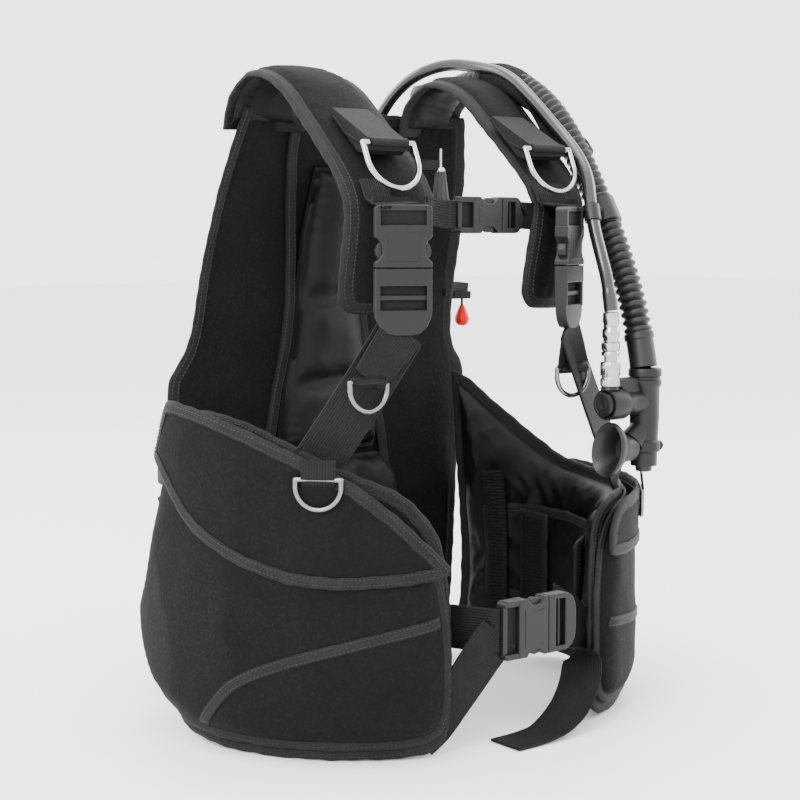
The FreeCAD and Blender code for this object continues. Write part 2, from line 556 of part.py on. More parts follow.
def chest_and_waist():
    """Sternum strap and waist belt, each with its buckle, and the elastic cummerbund wings."""
    level = "shoulder_height - sternum_drop"
    depth = "10 - chest_depth"
    buckle("sternum", 14, depth, level, 51, 27, 20, 33, 12)
    for name, ends in (("right", ("-strap_inner", "-37.2")), ("left", ("41.2", "strap_inner"))):
        strip = block(name + "_sternum_webbing", *ends, depth + " - web_thick / 2",
                      depth + " + web_thick / 2", level + " - sternum_web / 2",
                      level + " + sternum_web / 2")
        sub_part(name + "_sternum_webbing", strip)

    buckle("waist", 7, "-waist_depth", "waist_level", 52, 35, 30, 53, 14)
    low, high = "waist_level - waist_web / 2", "waist_level + waist_web / 2"
    thick = "web_thick"
    belt = outline("right_belt", "XY", [
        ("-45.2", "-waist_depth - 1.2"), ("-45.2", "-waist_depth - 1.2 + " + thick),
        ("-72", "56 - waist_depth + " + thick), ("-72", "54 - waist_depth")], "waist_level", "waist_web")
    drop = outline("right_belt_tail", "YZ", [
        ("8.4 - waist_depth", low + " + 3"), ("8.4 - waist_depth + " + thick, low + " + 3"),
        ("30 - waist_depth + " + thick, "1"), ("30 - waist_depth", "1")], "-52", "waist_web")
    sub_part("right_waist_webbing", group("right_waist_webbing", belt, drop))
    belt = outline("left_belt", "XY", [
        ("42.2", "-waist_depth - 1.2"), ("42.2", "-waist_depth - 1.2 + " + thick),
        ("70", "56 - waist_depth + " + thick), ("70", "54 - waist_depth")], "waist_level", "waist_web")
    tail = outline("left_belt_tail", "XZ", [
        ("74", low + " - 1"), ("74", "36"), ("52", "8"), ("32", thick), ("-29", thick), ("-29", "0"),
        ("33", "0"), ("54", "5.6"), ("76.4", "34"), ("76.4", low + " - 1")], "12 - waist_depth",
        "waist_web")
    sub_part("left_waist_webbing", group("left_waist_webbing", belt, tail))
    wings = [arc_wall(name + "_wing", side, LOBE_IN + " - soft_gap - 8", LOBE_IN + " - soft_gap", "62",
                      "168", front="front_angle + 8", rear="rear_angle - 12")
             for name, side in SIDES.items()]
    sub_part("cummerbund_wings", group("cummerbund_wings", *wings))


# Each hose's route: points chosen by hand, from the ring's middle.
HOSE_ROUTE = [
    (148, 108, 603), (148, 66, 613), (148, 22, 617), (148, -25, 612), (148, -72, 586),
    (149, -108, 545), (150, -142, 490), (150, -174, 432), (150, -197, 375), (150, -205, 333.2),
]
LP_ROUTE = [
    (104, -207, 388), (103, -204, 412), (102, -196, 437), (104, -184, 462), (108, -174, 488),
    (117, -161, 513), (123, -139, 536), (126, -110, 559), (126, -76, 588), (126, -36, 618),
    (124, 8, 628), (116, 46, 634), (100, 82, 624), (90, 112, 600), (87, 134, 570),
    (85, 153, 535), (82, 168, 497), (80, 175, 458), (80, 177, 420),
]


def hoses_and_inflator():
    """Corrugated hose with the inflator head, and the low-pressure hose with its end fittings."""
    wide_tunnel = cord("corrugated_hose", HOSE_ROUTE, size("hose_diameter"))
    thin_tunnel = cord("lp_hose", LP_ROUTE, size("lp_diameter"))
    cover = outline("sleeve_cover", "YZ", [
        ("8", "642"), ("-42", "628"), ("-88", "595"), ("-123", "557"), ("-100", "534"), ("-70", "563"),
        ("-32", "586"), ("8", "594")], 142.5, 49)
    strap = outline("sleeve_seat", "YZ", shoulder_profile(), "strap_inner + left_strap_wide / 2",
                    "left_strap_wide + 2 * soft_gap")
    sub_part("hose_sleeve", cut("hose_sleeve", cover, wide_tunnel, thin_tunnel, strap))

    x, y, z = HOSE_ROUTE[0]
    mouth = rod("elbow_mouth", "hose_diameter / 2 + 3", 30, x, y + 3.4, z, "y")
    drop = rod("elbow_drop", "hose_diameter / 2 + 1", z - 505, x, y + 17, 505)
    sub_part("hose_elbow", fuse("hose_elbow", mouth, drop))

    column = rod("head_column", "head_radius", "head_top - head_bottom", "head_x", HEAD_Y, "head_bottom")
    barrel = rod("head_barrel", "barrel_radius", "head_x - barrel_end", "barrel_end", HEAD_Y,
                 "barrel_level", "x")
    nipple = rod("head_nipple", "coupler_bore - 0.3", "18", "coupler_x", HEAD_Y,
                 "barrel_level + barrel_radius - 1")
    branch = rod("mouth_branch", "mouth_radius - mouth_wall - 0.2", "30", "head_x - 34", HEAD_Y,
                 "mouth_level", "x")
    pocket = rod("button_pocket", "button_radius + button_fit", "8 + button_travel + 1",
                 "barrel_end - 1", HEAD_Y, "barrel_level", "x")
    seat = rod("dump_pocket", "dump_radius + button_fit", "9 + dump_travel + 1", "head_x", HEAD_Y,
               "head_bottom - 1")
    sub_part("inflator_body", cut("inflator_body", fuse("head_solid", column, barrel, nipple, branch),
                                  pocket, seat))
    sub_part("inflate_button", rod("inflate_button", "button_radius", "7 + button_stand",
                                   "barrel_end - button_stand", HEAD_Y, "barrel_level", "x"))
    sub_part("deflate_button", rod("deflate_button", "dump_radius", "8 + dump_travel + 1", "head_x",
                                   HEAD_Y, "head_bottom - dump_travel - 1"))
    neck = rod("mouth_neck", "mouth_radius", "18.3", "head_x - 33", HEAD_Y, "mouth_level", "x")
    flare = cone("mouth_cone", "mouth_flare", "mouth_radius", "18", "head_x - 51", HEAD_Y,
                 "mouth_level", "x")
    bore = rod("mouth_bore", "mouth_radius - mouth_wall", "40", "head_x - 50", HEAD_Y, "mouth_level",
               "x")
    throat = cone("mouth_throat", "mouth_flare - mouth_wall", "mouth_radius - mouth_wall", "18",
                  "head_x - 51.5", HEAD_Y, "mouth_level", "x")
    seat = rod("mouth_seat", "head_radius + 0.1", "80", "head_x", HEAD_Y, "mouth_level - 40")
    sub_part("mouthpiece", cut("mouthpiece", fuse("mouth_solid", neck, flare), bore, throat, seat))

    low = "barrel_level + barrel_radius + 1"
    sub_part("qd_sleeve", cut("qd_sleeve", rod("qd_outer", "coupler_radius", "24", "coupler_x", HEAD_Y,
                                               low),
                              rod("qd_bore", "coupler_bore", "30", "coupler_x", HEAD_Y, low + " - 1")))
    start = low + " + 24 + coupler_travel + 0.5"
    collar = rod("quick_collar", "coupler_radius - 1", "14", "coupler_x", HEAD_Y, start)
    ferrule = rod("quick_ferrule", "coupler_radius - 1.8", "387 - (%s)" % start, "coupler_x", HEAD_Y,
                  start)
    sub_part("lp_quick_connect", fuse("lp_quick_connect", collar, ferrule))
    x, y, z = LP_ROUTE[-1]
    tip = [rod("fitting_ferrule", "lp_diameter / 2 + 1.5", "22", x, y, z - 22.6),
           rod("fitting_hex", 9, "14", x, y, z - 36), rod("fitting_thread", 4.76, "12.5", x, y, z - 48)]
    sub_part("lp_hose_fitting", fuse("lp_hose_fitting", *tip))


def pocket_rings():
    """A ring on each pocket flap, in a webbing loop that is sewn to the flap's upper part."""
    for name, side in SIDES.items():
        level = "lobe_height - 62" if side < 0 else "lobe_height - lobe_sag - 6"
        angle = math.radians(136)
        out = "(ring_radius + soft_gap + flap_thick + 3.2)"
        x = "%d * (ring_offset - %s * %.4f)" % (side, out, math.cos(angle))
        y = "-%s * %.4f" % (out, math.sin(angle))
        d_ring(name + "_pocket_ring", "small", x, y, level,
               FreeCAD.Rotation(V(0, 0, 1), side * 46))


lobes_and_pockets()
back()
straps()
chest_and_waist()
hoses_and_inflator()
pocket_rings()
doc.recompute()

for item in doc.Objects:
    if "Invalid" in item.State or "Error" in item.State:
        raise RuntimeError("%s did not build" % item.Label)
for label, item in sub_parts.items():
    if item.Shape.isNull() or not item.Shape.isValid() or not item.Shape.Solids:
        raise RuntimeError("%s has no sound solid" % label)
for label, item in sub_parts.items():
    item.Shape.exportStep("parts/%s.step" % label)
whole = Part.Compound([item.Shape for item in sub_parts.values()]).BoundBox
print("%d nodes, %s" % (len(sub_parts), whole))
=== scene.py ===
"""Buoyancy compensator vest: its cloth, webbing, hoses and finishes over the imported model."""

import logging
import math
import random
from dataclasses import dataclass, field
from enum import Enum
from typing import Any, Callable, Optional, Sequence

import bmesh
import bpy
import numpy as np
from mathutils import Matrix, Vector

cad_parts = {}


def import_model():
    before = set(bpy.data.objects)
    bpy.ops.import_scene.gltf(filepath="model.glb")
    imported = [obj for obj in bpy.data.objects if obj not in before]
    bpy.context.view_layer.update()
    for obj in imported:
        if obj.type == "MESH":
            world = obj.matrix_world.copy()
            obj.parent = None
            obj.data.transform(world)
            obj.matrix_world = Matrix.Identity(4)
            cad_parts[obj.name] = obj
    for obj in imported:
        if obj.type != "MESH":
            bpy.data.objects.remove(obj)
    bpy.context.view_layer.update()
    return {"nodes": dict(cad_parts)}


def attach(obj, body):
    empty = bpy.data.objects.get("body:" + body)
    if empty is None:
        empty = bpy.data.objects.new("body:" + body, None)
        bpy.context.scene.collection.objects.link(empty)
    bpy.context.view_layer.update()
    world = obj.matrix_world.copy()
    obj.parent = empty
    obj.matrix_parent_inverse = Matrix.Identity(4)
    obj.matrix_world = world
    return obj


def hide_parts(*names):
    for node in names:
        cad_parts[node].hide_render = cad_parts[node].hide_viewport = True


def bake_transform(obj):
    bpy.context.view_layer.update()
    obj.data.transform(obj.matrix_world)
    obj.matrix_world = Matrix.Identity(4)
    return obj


log = logging.getLogger("vest")

RING_Y = -0.0672
"""How far the middle of the vest's ring stands in front of the row frame's middle, in metres."""

BUCKLE_TURN = math.radians(28)
"""How far each shoulder buckle turns outward from the front."""

RIM_STEP, STITCH_PITCH, STITCH_SHARE, THREAD_WIDE = 0.003, 0.0037, 0.68, 0.0009
"""The spacing along a seam, a stitch's pitch, the share of it that shows, and the thread's width."""

CORNER_CUTS, LATHE_POINTS = 3, 40
"""How often a line's corners are cut, and how many points go round a turned piece."""

Pair = tuple[float, float]
Triple = tuple[float, float, float]


# Shader maths -----------------------------------------------------------------------------


class Wire:
    """A shader value, with Python's operators for the Math nodes that act on it."""

    def __init__(self, paint: "Paint", socket: bpy.types.NodeSocket) -> None:
        """Wraps a socket.

        Args:
            paint: The material that the socket belongs to.
            socket: The output that carries the value.
        """
        self.paint = paint
        self.socket = socket

    def _math(self, operation: str, first: Any, second: Any) -> "Wire":
        """Adds a Math node.

        Args:
            operation: The Math node's operation.
            first: A wire or a number.
            second: A wire or a number.

        Returns:
            The node's value.
        """
        return self.paint.node("ShaderNodeMath", {"operation": operation}, {0: first, 1: second})

    def __add__(self, other: Any) -> "Wire":
        """The sum."""
        return self._math("ADD", self, other)

    __radd__ = __add__

    def __sub__(self, other: Any) -> "Wire":
        """The difference."""
        return self._math("SUBTRACT", self, other)

    def __rsub__(self, other: Any) -> "Wire":
        """The difference, with this value taken away."""
        return self._math("SUBTRACT", other, self)

    def __mul__(self, other: Any) -> "Wire":
        """The product."""
        return self._math("MULTIPLY", self, other)

    __rmul__ = __mul__

    def wave(self) -> "Wire":
        """The sine."""
        return self._math("SINE", self, 0.0)


class Paint:
    """One material: its Principled shader and the nodes that feed it."""

    def __init__(self, name: str, colour: Triple, rough: float, **constants: float) -> None:
        """Starts a material.

        Args:
            name: The material's name.
            colour: The base colour.
            rough: The roughness.
            **constants: Other Principled inputs, with underscores for spaces.
        """
        self.material = bpy.data.materials.new(name)
        self.material.use_nodes = True
        self.tree = self.material.node_tree
        self.shader = self.tree.nodes["Principled BSDF"]
        self.shader.inputs["Base Color"].default_value = (*colour, 1.0)
        self.shader.inputs["Roughness"].default_value = rough
        for label, value in constants.items():
            self.shader.inputs[label.replace("_", " ")].default_value = value
        self.material.diffuse_color = (*colour, 1.0)

    def node(self, kind: str, settings: Optional[dict[str, Any]] = None,
             inputs: Optional[dict[Any, Any]] = None, output: Any = 0) -> Wire:
        """Adds any node.

        Args:
            kind: The node's type.
            settings: Its properties, such as a Math node's operation.
            inputs: Its inputs by name or index, each a wire or a constant.
            output: The output's name or index.

        Returns:
            The output.
        """
        made = self.tree.nodes.new(kind)
        for label, value in (settings or {}).items():
            setattr(made, label, value)
        for label, value in (inputs or {}).items():
            if isinstance(value, Wire):
                self.tree.links.new(value.socket, made.inputs[label])
            else:
                made.inputs[label].default_value = value
        return Wire(self, made.outputs[output])

    def feed(self, label: str, value: Wire) -> None:
        """Links a wire to one of the shader's inputs."""
        self.tree.links.new(value.socket, self.shader.inputs[label])

    def spot(self) -> Wire:
        """The place on the object, in metres."""
        return self.node("ShaderNodeTexCoord", output="Object")

    def along_cloth(self) -> tuple[Wire, Wire]:
        """The distances along and across a piece of cloth, in metres."""
        flat = self.node("ShaderNodeUVMap", {"uv_map": "cloth"})
        return (self.node("ShaderNodeSeparateXYZ", None, {0: flat}, "X"),
                self.node("ShaderNodeSeparateXYZ", None, {0: flat}, "Y"))

    def cloud(self, scale: float, detail: float = 3.0, rough: float = 0.6) -> Wire:
        """Soft noise from 0 to 1 at so many cells to the metre."""
        return self.node("ShaderNodeTexNoise", {"noise_dimensions": "3D"},
                         {"Vector": self.spot(), "Scale": scale, "Detail": detail,
                          "Roughness": rough}, "Fac")

    def tint(self, mask: Wire, dark: Triple, light: Triple) -> None:
        """Colours the surface between two colours by a mask."""
        mixed = self.node("ShaderNodeMix", {"data_type": "RGBA"},
                          {"Factor": mask, 6: (*dark, 1.0), 7: (*light, 1.0)}, 2)
        self.feed("Base Color", mixed)

    def relief(self, height: Wire, strength: float, depth: float = 0.0005) -> None:
        """Bumps the surface by a height."""
        bumped = self.node("ShaderNodeBump", None,
                           {"Strength": strength, "Distance": depth, "Height": height}, "Normal")
        self.feed("Normal", bumped)


# Finishes ---------------------------------------------------------------------------------


@dataclass(frozen=True)
class Cordura:
    """Coarse plain-woven nylon with uneven yarns."""

    name: str = "cordura"
    dark: Triple = (0.0010, 0.0010, 0.0012)
    light: Triple = (0.0098, 0.0099, 0.0104)
    yarn: float = 0.0013
    rough: float = 0.66
    depth: float = 0.0007

    def make(self) -> bpy.types.Material:
        """Builds the material.

        Returns:
            The material.
        """
        paint = Paint(self.name, self.light, self.rough, Sheen_Weight=0.003, Sheen_Roughness=0.5,
                      Specular_IOR_Level=0.085)
        along, across = paint.along_cloth()
        pitch = 2 * math.pi / self.yarn
        warp = (along * pitch).wave()
        weft = (across * pitch).wave()
        weave = (warp * weft + 1.0) * 0.5
        slub = paint.cloud(330.0, 4.0, 0.8)
        speck = (slub * 4.2 - 1.65) * (slub * 4.2 - 1.65) * 0.62
        fibre = weave * 0.40 + speck * 0.60
        worn = paint.cloud(22.0, 4.0, 0.6)
        paint.tint(fibre * (worn * 1.3 + 0.05), self.dark, self.light)
        paint.feed("Roughness", fibre * -0.22 + (self.rough + 0.12))
        paint.relief(fibre + worn * 0.4, 0.75, self.depth)
        return paint.material


@dataclass(frozen=True)
class Lining:
    """Smooth coated nylon that shines along its folds."""

    name: str = "lining"
    dark: Triple = (0.0008, 0.0008, 0.0010)
    light: Triple = (0.0040, 0.0041, 0.0048)
    rough: float = 0.38

    def make(self) -> bpy.types.Material:
        """Builds the material.

        Returns:
            The material.
        """
        paint = Paint(self.name, self.dark, self.rough, Sheen_Weight=0.002, Sheen_Roughness=0.4,
                      Specular_IOR_Level=0.14)
        along, across = paint.along_cloth()
        pitch = 2 * math.pi / 0.0008
        weave = ((along * pitch).wave() * (across * pitch).wave() + 1.0) * 0.5
        crease = paint.cloud(60.0, 5.0, 0.6)
        broad = paint.cloud(18.0, 2.0, 0.5)
        paint.tint(broad * 0.6 + weave * 0.3, self.dark, self.light)
        paint.feed("Roughness", crease * 0.24 + (self.rough - 0.10))
        paint.relief(crease * 1.6 + weave * 0.25, 0.5, 0.0014)
        return paint.material


@dataclass(frozen=True)
class Ribbed:
    """Flat woven goods with ribs along their length: webbing, bias tape and elastic."""

    name: str
    rib: float
    pick: float
    dark: Triple = (0.0012, 0.0012, 0.0014)
    light: Triple = (0.0062, 0.0063, 0.0067)
    rough: float = 0.56
    depth: float = 0.0006

    def make(self) -> bpy.types.Material:
        """Builds the material.

        Returns:
            The material.
        """
        paint = Paint(self.name, self.light, self.rough, Sheen_Weight=0.003, Sheen_Roughness=0.5,
                      Specular_IOR_Level=0.10)
        along, across = paint.along_cloth()
        ribs = ((across * (2 * math.pi / self.rib)).wave() + 1.0) * 0.5
        picks = ((along * (2 * math.pi / self.pick)
                  + across * (2 * math.pi / self.rib)).wave() + 1.0) * 0.5
        fuzz = paint.cloud(420.0, 3.0, 0.8) * 2.4 - 0.7
        thread = ribs * 0.4 + picks * 0.2 + fuzz * 0.4
        worn = paint.cloud(30.0, 4.0, 0.6)
        paint.tint(thread * (worn * 1.1 + 0.25), self.dark, self.light)
        paint.feed("Roughness", thread * -0.2 + (self.rough + 0.1))
        paint.relief(thread, 0.85, self.depth)
        return paint.material


@dataclass(frozen=True)
class Thread:
    """Polyester sewing thread, a little lighter than the cloth."""

    name: str = "thread"

    def make(self) -> bpy.types.Material:
        """Builds the material.

        Returns:
            The material.
        """
        paint = Paint(self.name, (0.02, 0.02, 0.022), 0.5, Specular_IOR_Level=0.25)
        twist = paint.cloud(2500.0, 1.0, 0.5)
        paint.tint(twist, (0.007, 0.007, 0.0075), (0.020, 0.0205, 0.022))
        paint.relief(twist, 0.4, 0.0002)
        return paint.material


@dataclass(frozen=True)
class Moulded:
    """Moulded plastic or rubber with a fine grain and handled edges."""

    name: str
    colour: Triple
    rough: float
    grain: float
    coat: float = 0.0
    gloss: float = 0.5

    def make(self) -> bpy.types.Material:
        """Builds the material.

        Returns:
            The material.
        """
        paint = Paint(self.name, self.colour, self.rough, Coat_Weight=self.coat,
                      Coat_Roughness=0.15, Specular_IOR_Level=self.gloss)
        grain = paint.cloud(1400.0, 2.0, 0.6)
        handled = paint.cloud(40.0, 4.0, 0.6)
        dark = tuple(part * 0.75 for part in self.colour)
        light = tuple(min(1.0, part * 1.5) for part in self.colour)
        paint.tint(handled * 0.7 + grain * 0.3, dark, light)
        paint.feed("Roughness", handled * 0.16 + grain * 0.08 + (self.rough - 0.12))
        paint.relief(grain + handled * 0.5, self.grain, 0.00025)
        return paint.material


@dataclass(frozen=True)
class Metal:
    """Polished or plated metal with fine scratches."""

    name: str
    colour: Triple
    rough: float
    scratch: float = 0.25

    def make(self) -> bpy.types.Material:
        """Builds the material.

        Returns:
            The material.
        """
        paint = Paint(self.name, self.colour, self.rough, Metallic=1.0)
        scuffs = paint.cloud(260.0, 6.0, 0.75)
        hairs = paint.cloud(1800.0, 3.0, 0.6)
        dull = tuple(part * 0.72 for part in self.colour)
        paint.tint(scuffs, dull, self.colour)
        paint.feed("Roughness", scuffs * 0.22 + (self.rough - 0.06))
        paint.relief(hairs + scuffs, self.scratch, 0.00008)
        return paint.material


class Finish(Enum):
    """Every finish on the vest."""

    CLOTH = Cordura()
    SMOOTH_CLOTH = Cordura(name="fine_cloth", light=(0.0052, 0.0053, 0.0058), yarn=0.0009, depth=0.0004)
    LINING = Lining()
    TAPE = Ribbed("bias_tape", 0.0011, 0.0016, light=(0.0190, 0.0192, 0.0200), depth=0.0004)
    WEBBING = Ribbed("woven_webbing", 0.0024, 0.0024, light=(0.0115, 0.0117, 0.0122), depth=0.0008)
    ELASTIC = Ribbed("gathered_elastic", 0.0036, 0.0020, light=(0.0085, 0.0085, 0.0089), depth=0.0012)
    THREAD = Thread()
    ACETAL = Moulded("acetal", (0.0044, 0.0045, 0.0048), 0.40, 0.35, gloss=0.26)
    RUBBER = Moulded("moulded_rubber", (0.0050, 0.0050, 0.0056), 0.42, 0.3, gloss=0.34)
    HOSE = Moulded("hose_cover", (0.0060, 0.0060, 0.0066), 0.24, 0.12, coat=0.35)
    RED = Moulded("red_knob_plastic", (0.42, 0.0010, 0.0008), 0.36, 0.10, gloss=0.16)
    STEEL = Metal("ring_steel_polish", (0.44, 0.44, 0.46), 0.19)
    DARK_STEEL = Metal("dark_ring_steel", (0.20, 0.20, 0.21), 0.22)
    PLATED = Metal("plated_brass", (0.46, 0.46, 0.47), 0.17, 0.15)

    @property
    def material(self) -> bpy.types.Material:
        """The finish's material, made the first time that it is asked for."""
        known = bpy.data.materials.get(self.value.name)
        return known or self.value.make()


SLOT_FINISH = {
    "outer_fabric": Finish.CLOTH, "lining_fabric": Finish.LINING, "webbing": Finish.WEBBING,
    "elastic": Finish.ELASTIC, "ring_steel": Finish.STEEL, "bright_metal": Finish.PLATED,
    "rubber": Finish.RUBBER, "hose_rubber": Finish.HOSE, "red_plastic": Finish.RED,
    "hard_plastic": Finish.ACETAL,
}


# Meshes -----------------------------------------------------------------------------------


def smooth_line(points: Sequence[Sequence[float]], step: float) -> np.ndarray:
    """Rounds a line's corners and spaces its points evenly.

    Args:
        points: The line's corners.
        step: The distance between the new points.

    Returns:
        The new points, one to a row.
    """
    line = np.array(points, float)
    for _ in range(CORNER_CUTS):
        near = line[:-1] * 0.75 + line[1:] * 0.25
        far = line[:-1] * 0.25 + line[1:] * 0.75
        line = np.vstack([line[:1], np.stack((near, far), 1).reshape(-1, line.shape[1])[1:-1],
                          line[-1:]])
    return even_line(line, step)


def even_line(line: np.ndarray, step: float) -> np.ndarray:
    """Spaces a line's points evenly.

    Args:
        line: The points.
        step: The distance between the new points.

    Returns:
        The new points.
    """
    gaps = np.linalg.norm(np.diff(line, axis=0), axis=1)
    run = np.concatenate(([0.0], np.cumsum(gaps)))
    count = max(2, int(round(run[-1] / step)) + 1)
    stops = np.linspace(0.0, run[-1], count)
    return np.stack([np.interp(stops, run, line[:, axis]) for axis in range(line.shape[1])], 1)


def unit(rows: np.ndarray) -> np.ndarray:
    """Each row at length one."""
    return rows / np.maximum(np.linalg.norm(rows, axis=-1, keepdims=True), 1e-12)


def headings(line: np.ndarray, closed: bool = False) -> np.ndarray:
    """The direction of a line at each of its points.

    Args:
        line: The points.
        closed: Whether the last point leads back to the first.

    Returns:
        One direction to a row.
    """
    if closed:
        return unit(np.roll(line, -1, 0) - np.roll(line, 1, 0))
    return unit(np.gradient(line, axis=0))


def solid(name: str, points: np.ndarray, faces: Sequence[Sequence[int]], finishes: Sequence[Finish],
          uv: Optional[np.ndarray] = None, picks: Optional[Sequence[int]] = None) -> bpy.types.Object:
    """Makes a smooth-shaded mesh object.

    Args:
        name: The piece's name.
        points: Its vertices in the row frame.
        faces: Its faces.
        finishes: Its materials.
        uv: Each vertex's distances along the cloth.
        picks: Each face's material.

    Returns:
        The object.
    """
    mesh = bpy.data.meshes.new(name)
    mesh.from_pydata([tuple(point) for point in points], [], [tuple(face) for face in faces])
    for finish in finishes:
        mesh.materials.append(finish.material)
    if uv is not None:
        layer = mesh.uv_layers.new(name="cloth")
        corners = np.zeros(len(mesh.loops), np.int32)
        mesh.loops.foreach_get("vertex_index", corners)
        layer.data.foreach_set("uv", uv[corners].astype(np.float32).ravel())
    mesh.polygons.foreach_set("use_smooth", [True] * len(mesh.polygons))
    if picks is not None:
        mesh.polygons.foreach_set("material_index", list(picks))
    mesh.validate()
    mesh.update()
    mesh.set_sharp_from_angle(angle=math.radians(48))
    made = bpy.data.objects.new(name, mesh)
    bpy.context.scene.collection.objects.link(made)
    return made


def sweep(name: str, rings: np.ndarray, finish: Finish, closed: bool = False,
          capped: bool = True) -> bpy.types.Object:
    """Skins a row of equal closed sections.

    Args:
        name: The piece's name.
        rings: Stations by section points by three.
        finish: Its material.
        closed: Whether the last station leads back to the first.
        capped: Whether an open sweep's ends are filled.

    Returns:
        The object.
    """
    stations, around = rings.shape[:2]
    index = np.arange(stations * around).reshape(stations, around)
    faces: list[list[int]] = []
    last = stations if closed else stations - 1
    for row in range(last):
        here, there = index[row], index[(row + 1) % stations]
        for spot in range(around):
            ahead = (spot + 1) % around
            faces.append([here[spot], here[ahead], there[ahead], there[spot]])
    if capped and not closed:
        faces.append(list(index[0][::-1]))
        faces.append(list(index[-1]))
    middle = rings.mean(1)
    along = np.concatenate(([0.0], np.cumsum(np.linalg.norm(np.diff(middle, axis=0), axis=1))))
    girth = np.concatenate(([0.0], np.cumsum(np.linalg.norm(np.diff(rings[0], axis=0), axis=1))))
    uv = np.stack(np.meshgrid(along, girth, indexing="ij"), -1).reshape(-1, 2)
    return solid(name, rings.reshape(-1, 3), faces, [finish], uv)


def join(name: str, pieces: Sequence[bpy.types.Object]) -> bpy.types.Object:
    """Joins meshes into one object.

    Args:
        name: The joined piece's name.
        pieces: The meshes.

    Returns:
        The object.
    """
    with bpy.context.temp_override(active_object=pieces[0], selected_editable_objects=list(pieces),
                                   object=pieces[0]):
        bpy.ops.object.join()
    pieces[0].name = name
    return pieces[0]


def stitch_row(name: str, starts: np.ndarray, ends: np.ndarray, lifts: np.ndarray
               ) -> bpy.types.Object:
    """Sews a row of short raised stitches.

    Args:
        name: The piece's name.
        starts: Where each stitch goes in.
        ends: Where each stitch comes out.
        lifts: The cloth's outward direction at each stitch.

    Returns:
        The object.
    """
    run = unit(ends - starts)
    side = unit(np.cross(run, lifts)) * THREAD_WIDE / 2
    rise = lifts * THREAD_WIDE * 0.55
    near = starts + (ends - starts) * 0.25
    far = starts + (ends - starts) * 0.75
    rings = [starts, near + side, near + rise, near - side, far + side, far + rise, far - side, ends]
    points = np.stack(rings, 1).reshape(-1, 3)
    pattern = [(0, 1, 2), (0, 2, 3), (1, 4, 5, 2), (2, 5, 6, 3), (4, 7, 5), (5, 7, 6)]
    faces = [[8 * count + corner for corner in face] for count in range(len(starts)) for face in pattern]
    return solid(name, points, faces, [Finish.THREAD])


# Surfaces that cloth lies on --------------------------------------------------------------


class Surface:
    """A smooth surface with two distances along it and a lift off it, all in metres."""

    def place(self, first: np.ndarray, second: np.ndarray, lift: np.ndarray) -> np.ndarray:
        """Finds points in the row frame.

        Args:
            first: The first distance at each point.
            second: The second distance at each point.
            lift: The distance off the surface at each point.

        Returns:
            One point to a row.
        """
        raise NotImplementedError


@dataclass(frozen=True)
class Round(Surface):
    """The upright curve of a side of the vest: arc length from the front, then height."""

    side: int
    radius: float
    middle: float = 0.030
    bows: Sequence[Pair] = ((0.025, 91), (0.031, 98), (0.048, 106), (0.072, 111), (0.110, 112),
                            (0.155, 105), (0.216, 97), (0.258, 94), (0.273, 92), (0.315, 88))
    slope: Pair = (-0.640, 0.768)

    def turned_in(self, angle: np.ndarray, height: np.ndarray) -> np.ndarray:
        """The reach of the straight side that runs from the lobe's rear edge to the back.

        Args:
            angle: The angle from the front, in radians.
            height: The height.

        Returns:
            The reach from the side's middle, or a large one before the rear edge.
        """
        levels, angles = zip(*self.bows)
        edge = np.radians(np.interp(height, levels, angles))
        corner = 0.222 * np.sin(edge), -0.222 * np.cos(edge)
        across = np.sin(angle) * self.slope[1] + np.cos(angle) * self.slope[0]
        reach = (corner[0] * self.slope[1] - corner[1] * self.slope[0]) / np.maximum(across, 1e-4)
        return np.where(angle > edge - 0.5, reach, 1.0)

    def place(self, first: np.ndarray, second: np.ndarray, lift: np.ndarray) -> np.ndarray:
        """Finds points in the row frame, as Surface.place does."""
        angle = first / self.radius
        rear = self.turned_in(angle, second + 0 * first)
        drop = 0.006 * np.log1p(np.exp(np.clip((0.222 - rear) / 0.006, -40, 40)))
        reach = self.radius + lift - drop
        return np.stack((self.side * (self.middle + reach * np.sin(angle)),
                         RING_Y - reach * np.cos(angle), second + 0 * first), -1)

    def arc(self, degrees: float) -> float:
        """The arc length at an angle from the front."""
        return math.radians(degrees) * self.radius

    def line(self, points: Sequence[Pair]) -> list[Pair]:
        """Points of angle and height as points of arc length and height."""
        return [(self.arc(degrees), height) for degrees, height in points]


@dataclass(frozen=True)
class Yoke(Surface):
    """The vest's back from inside: height, then distance across; it leans and wraps forward."""

    face: float = 0.105
    wrap: float = 0.038
    half: float = 0.170

    def place(self, first: np.ndarray, second: np.ndarray, lift: np.ndarray) -> np.ndarray:
        """Finds points in the row frame, as Surface.place does."""
        lean = np.interp(first, [0.0, 0.42, 0.46, 0.50, 0.60], [0.0, 0.0, 0.005, 0.018, 0.056])
        hold = np.interp(first, [0.10, 0.33, 0.38, 0.46, 0.60], [0.0, 0.12, 0.45, 1.0, 0.9])
        depth = self.face - lean - self.wrap * hold * np.abs(second / self.half) ** 2.4
        return np.stack((second + 0 * first, RING_Y + depth - lift, first + 0 * second), -1)


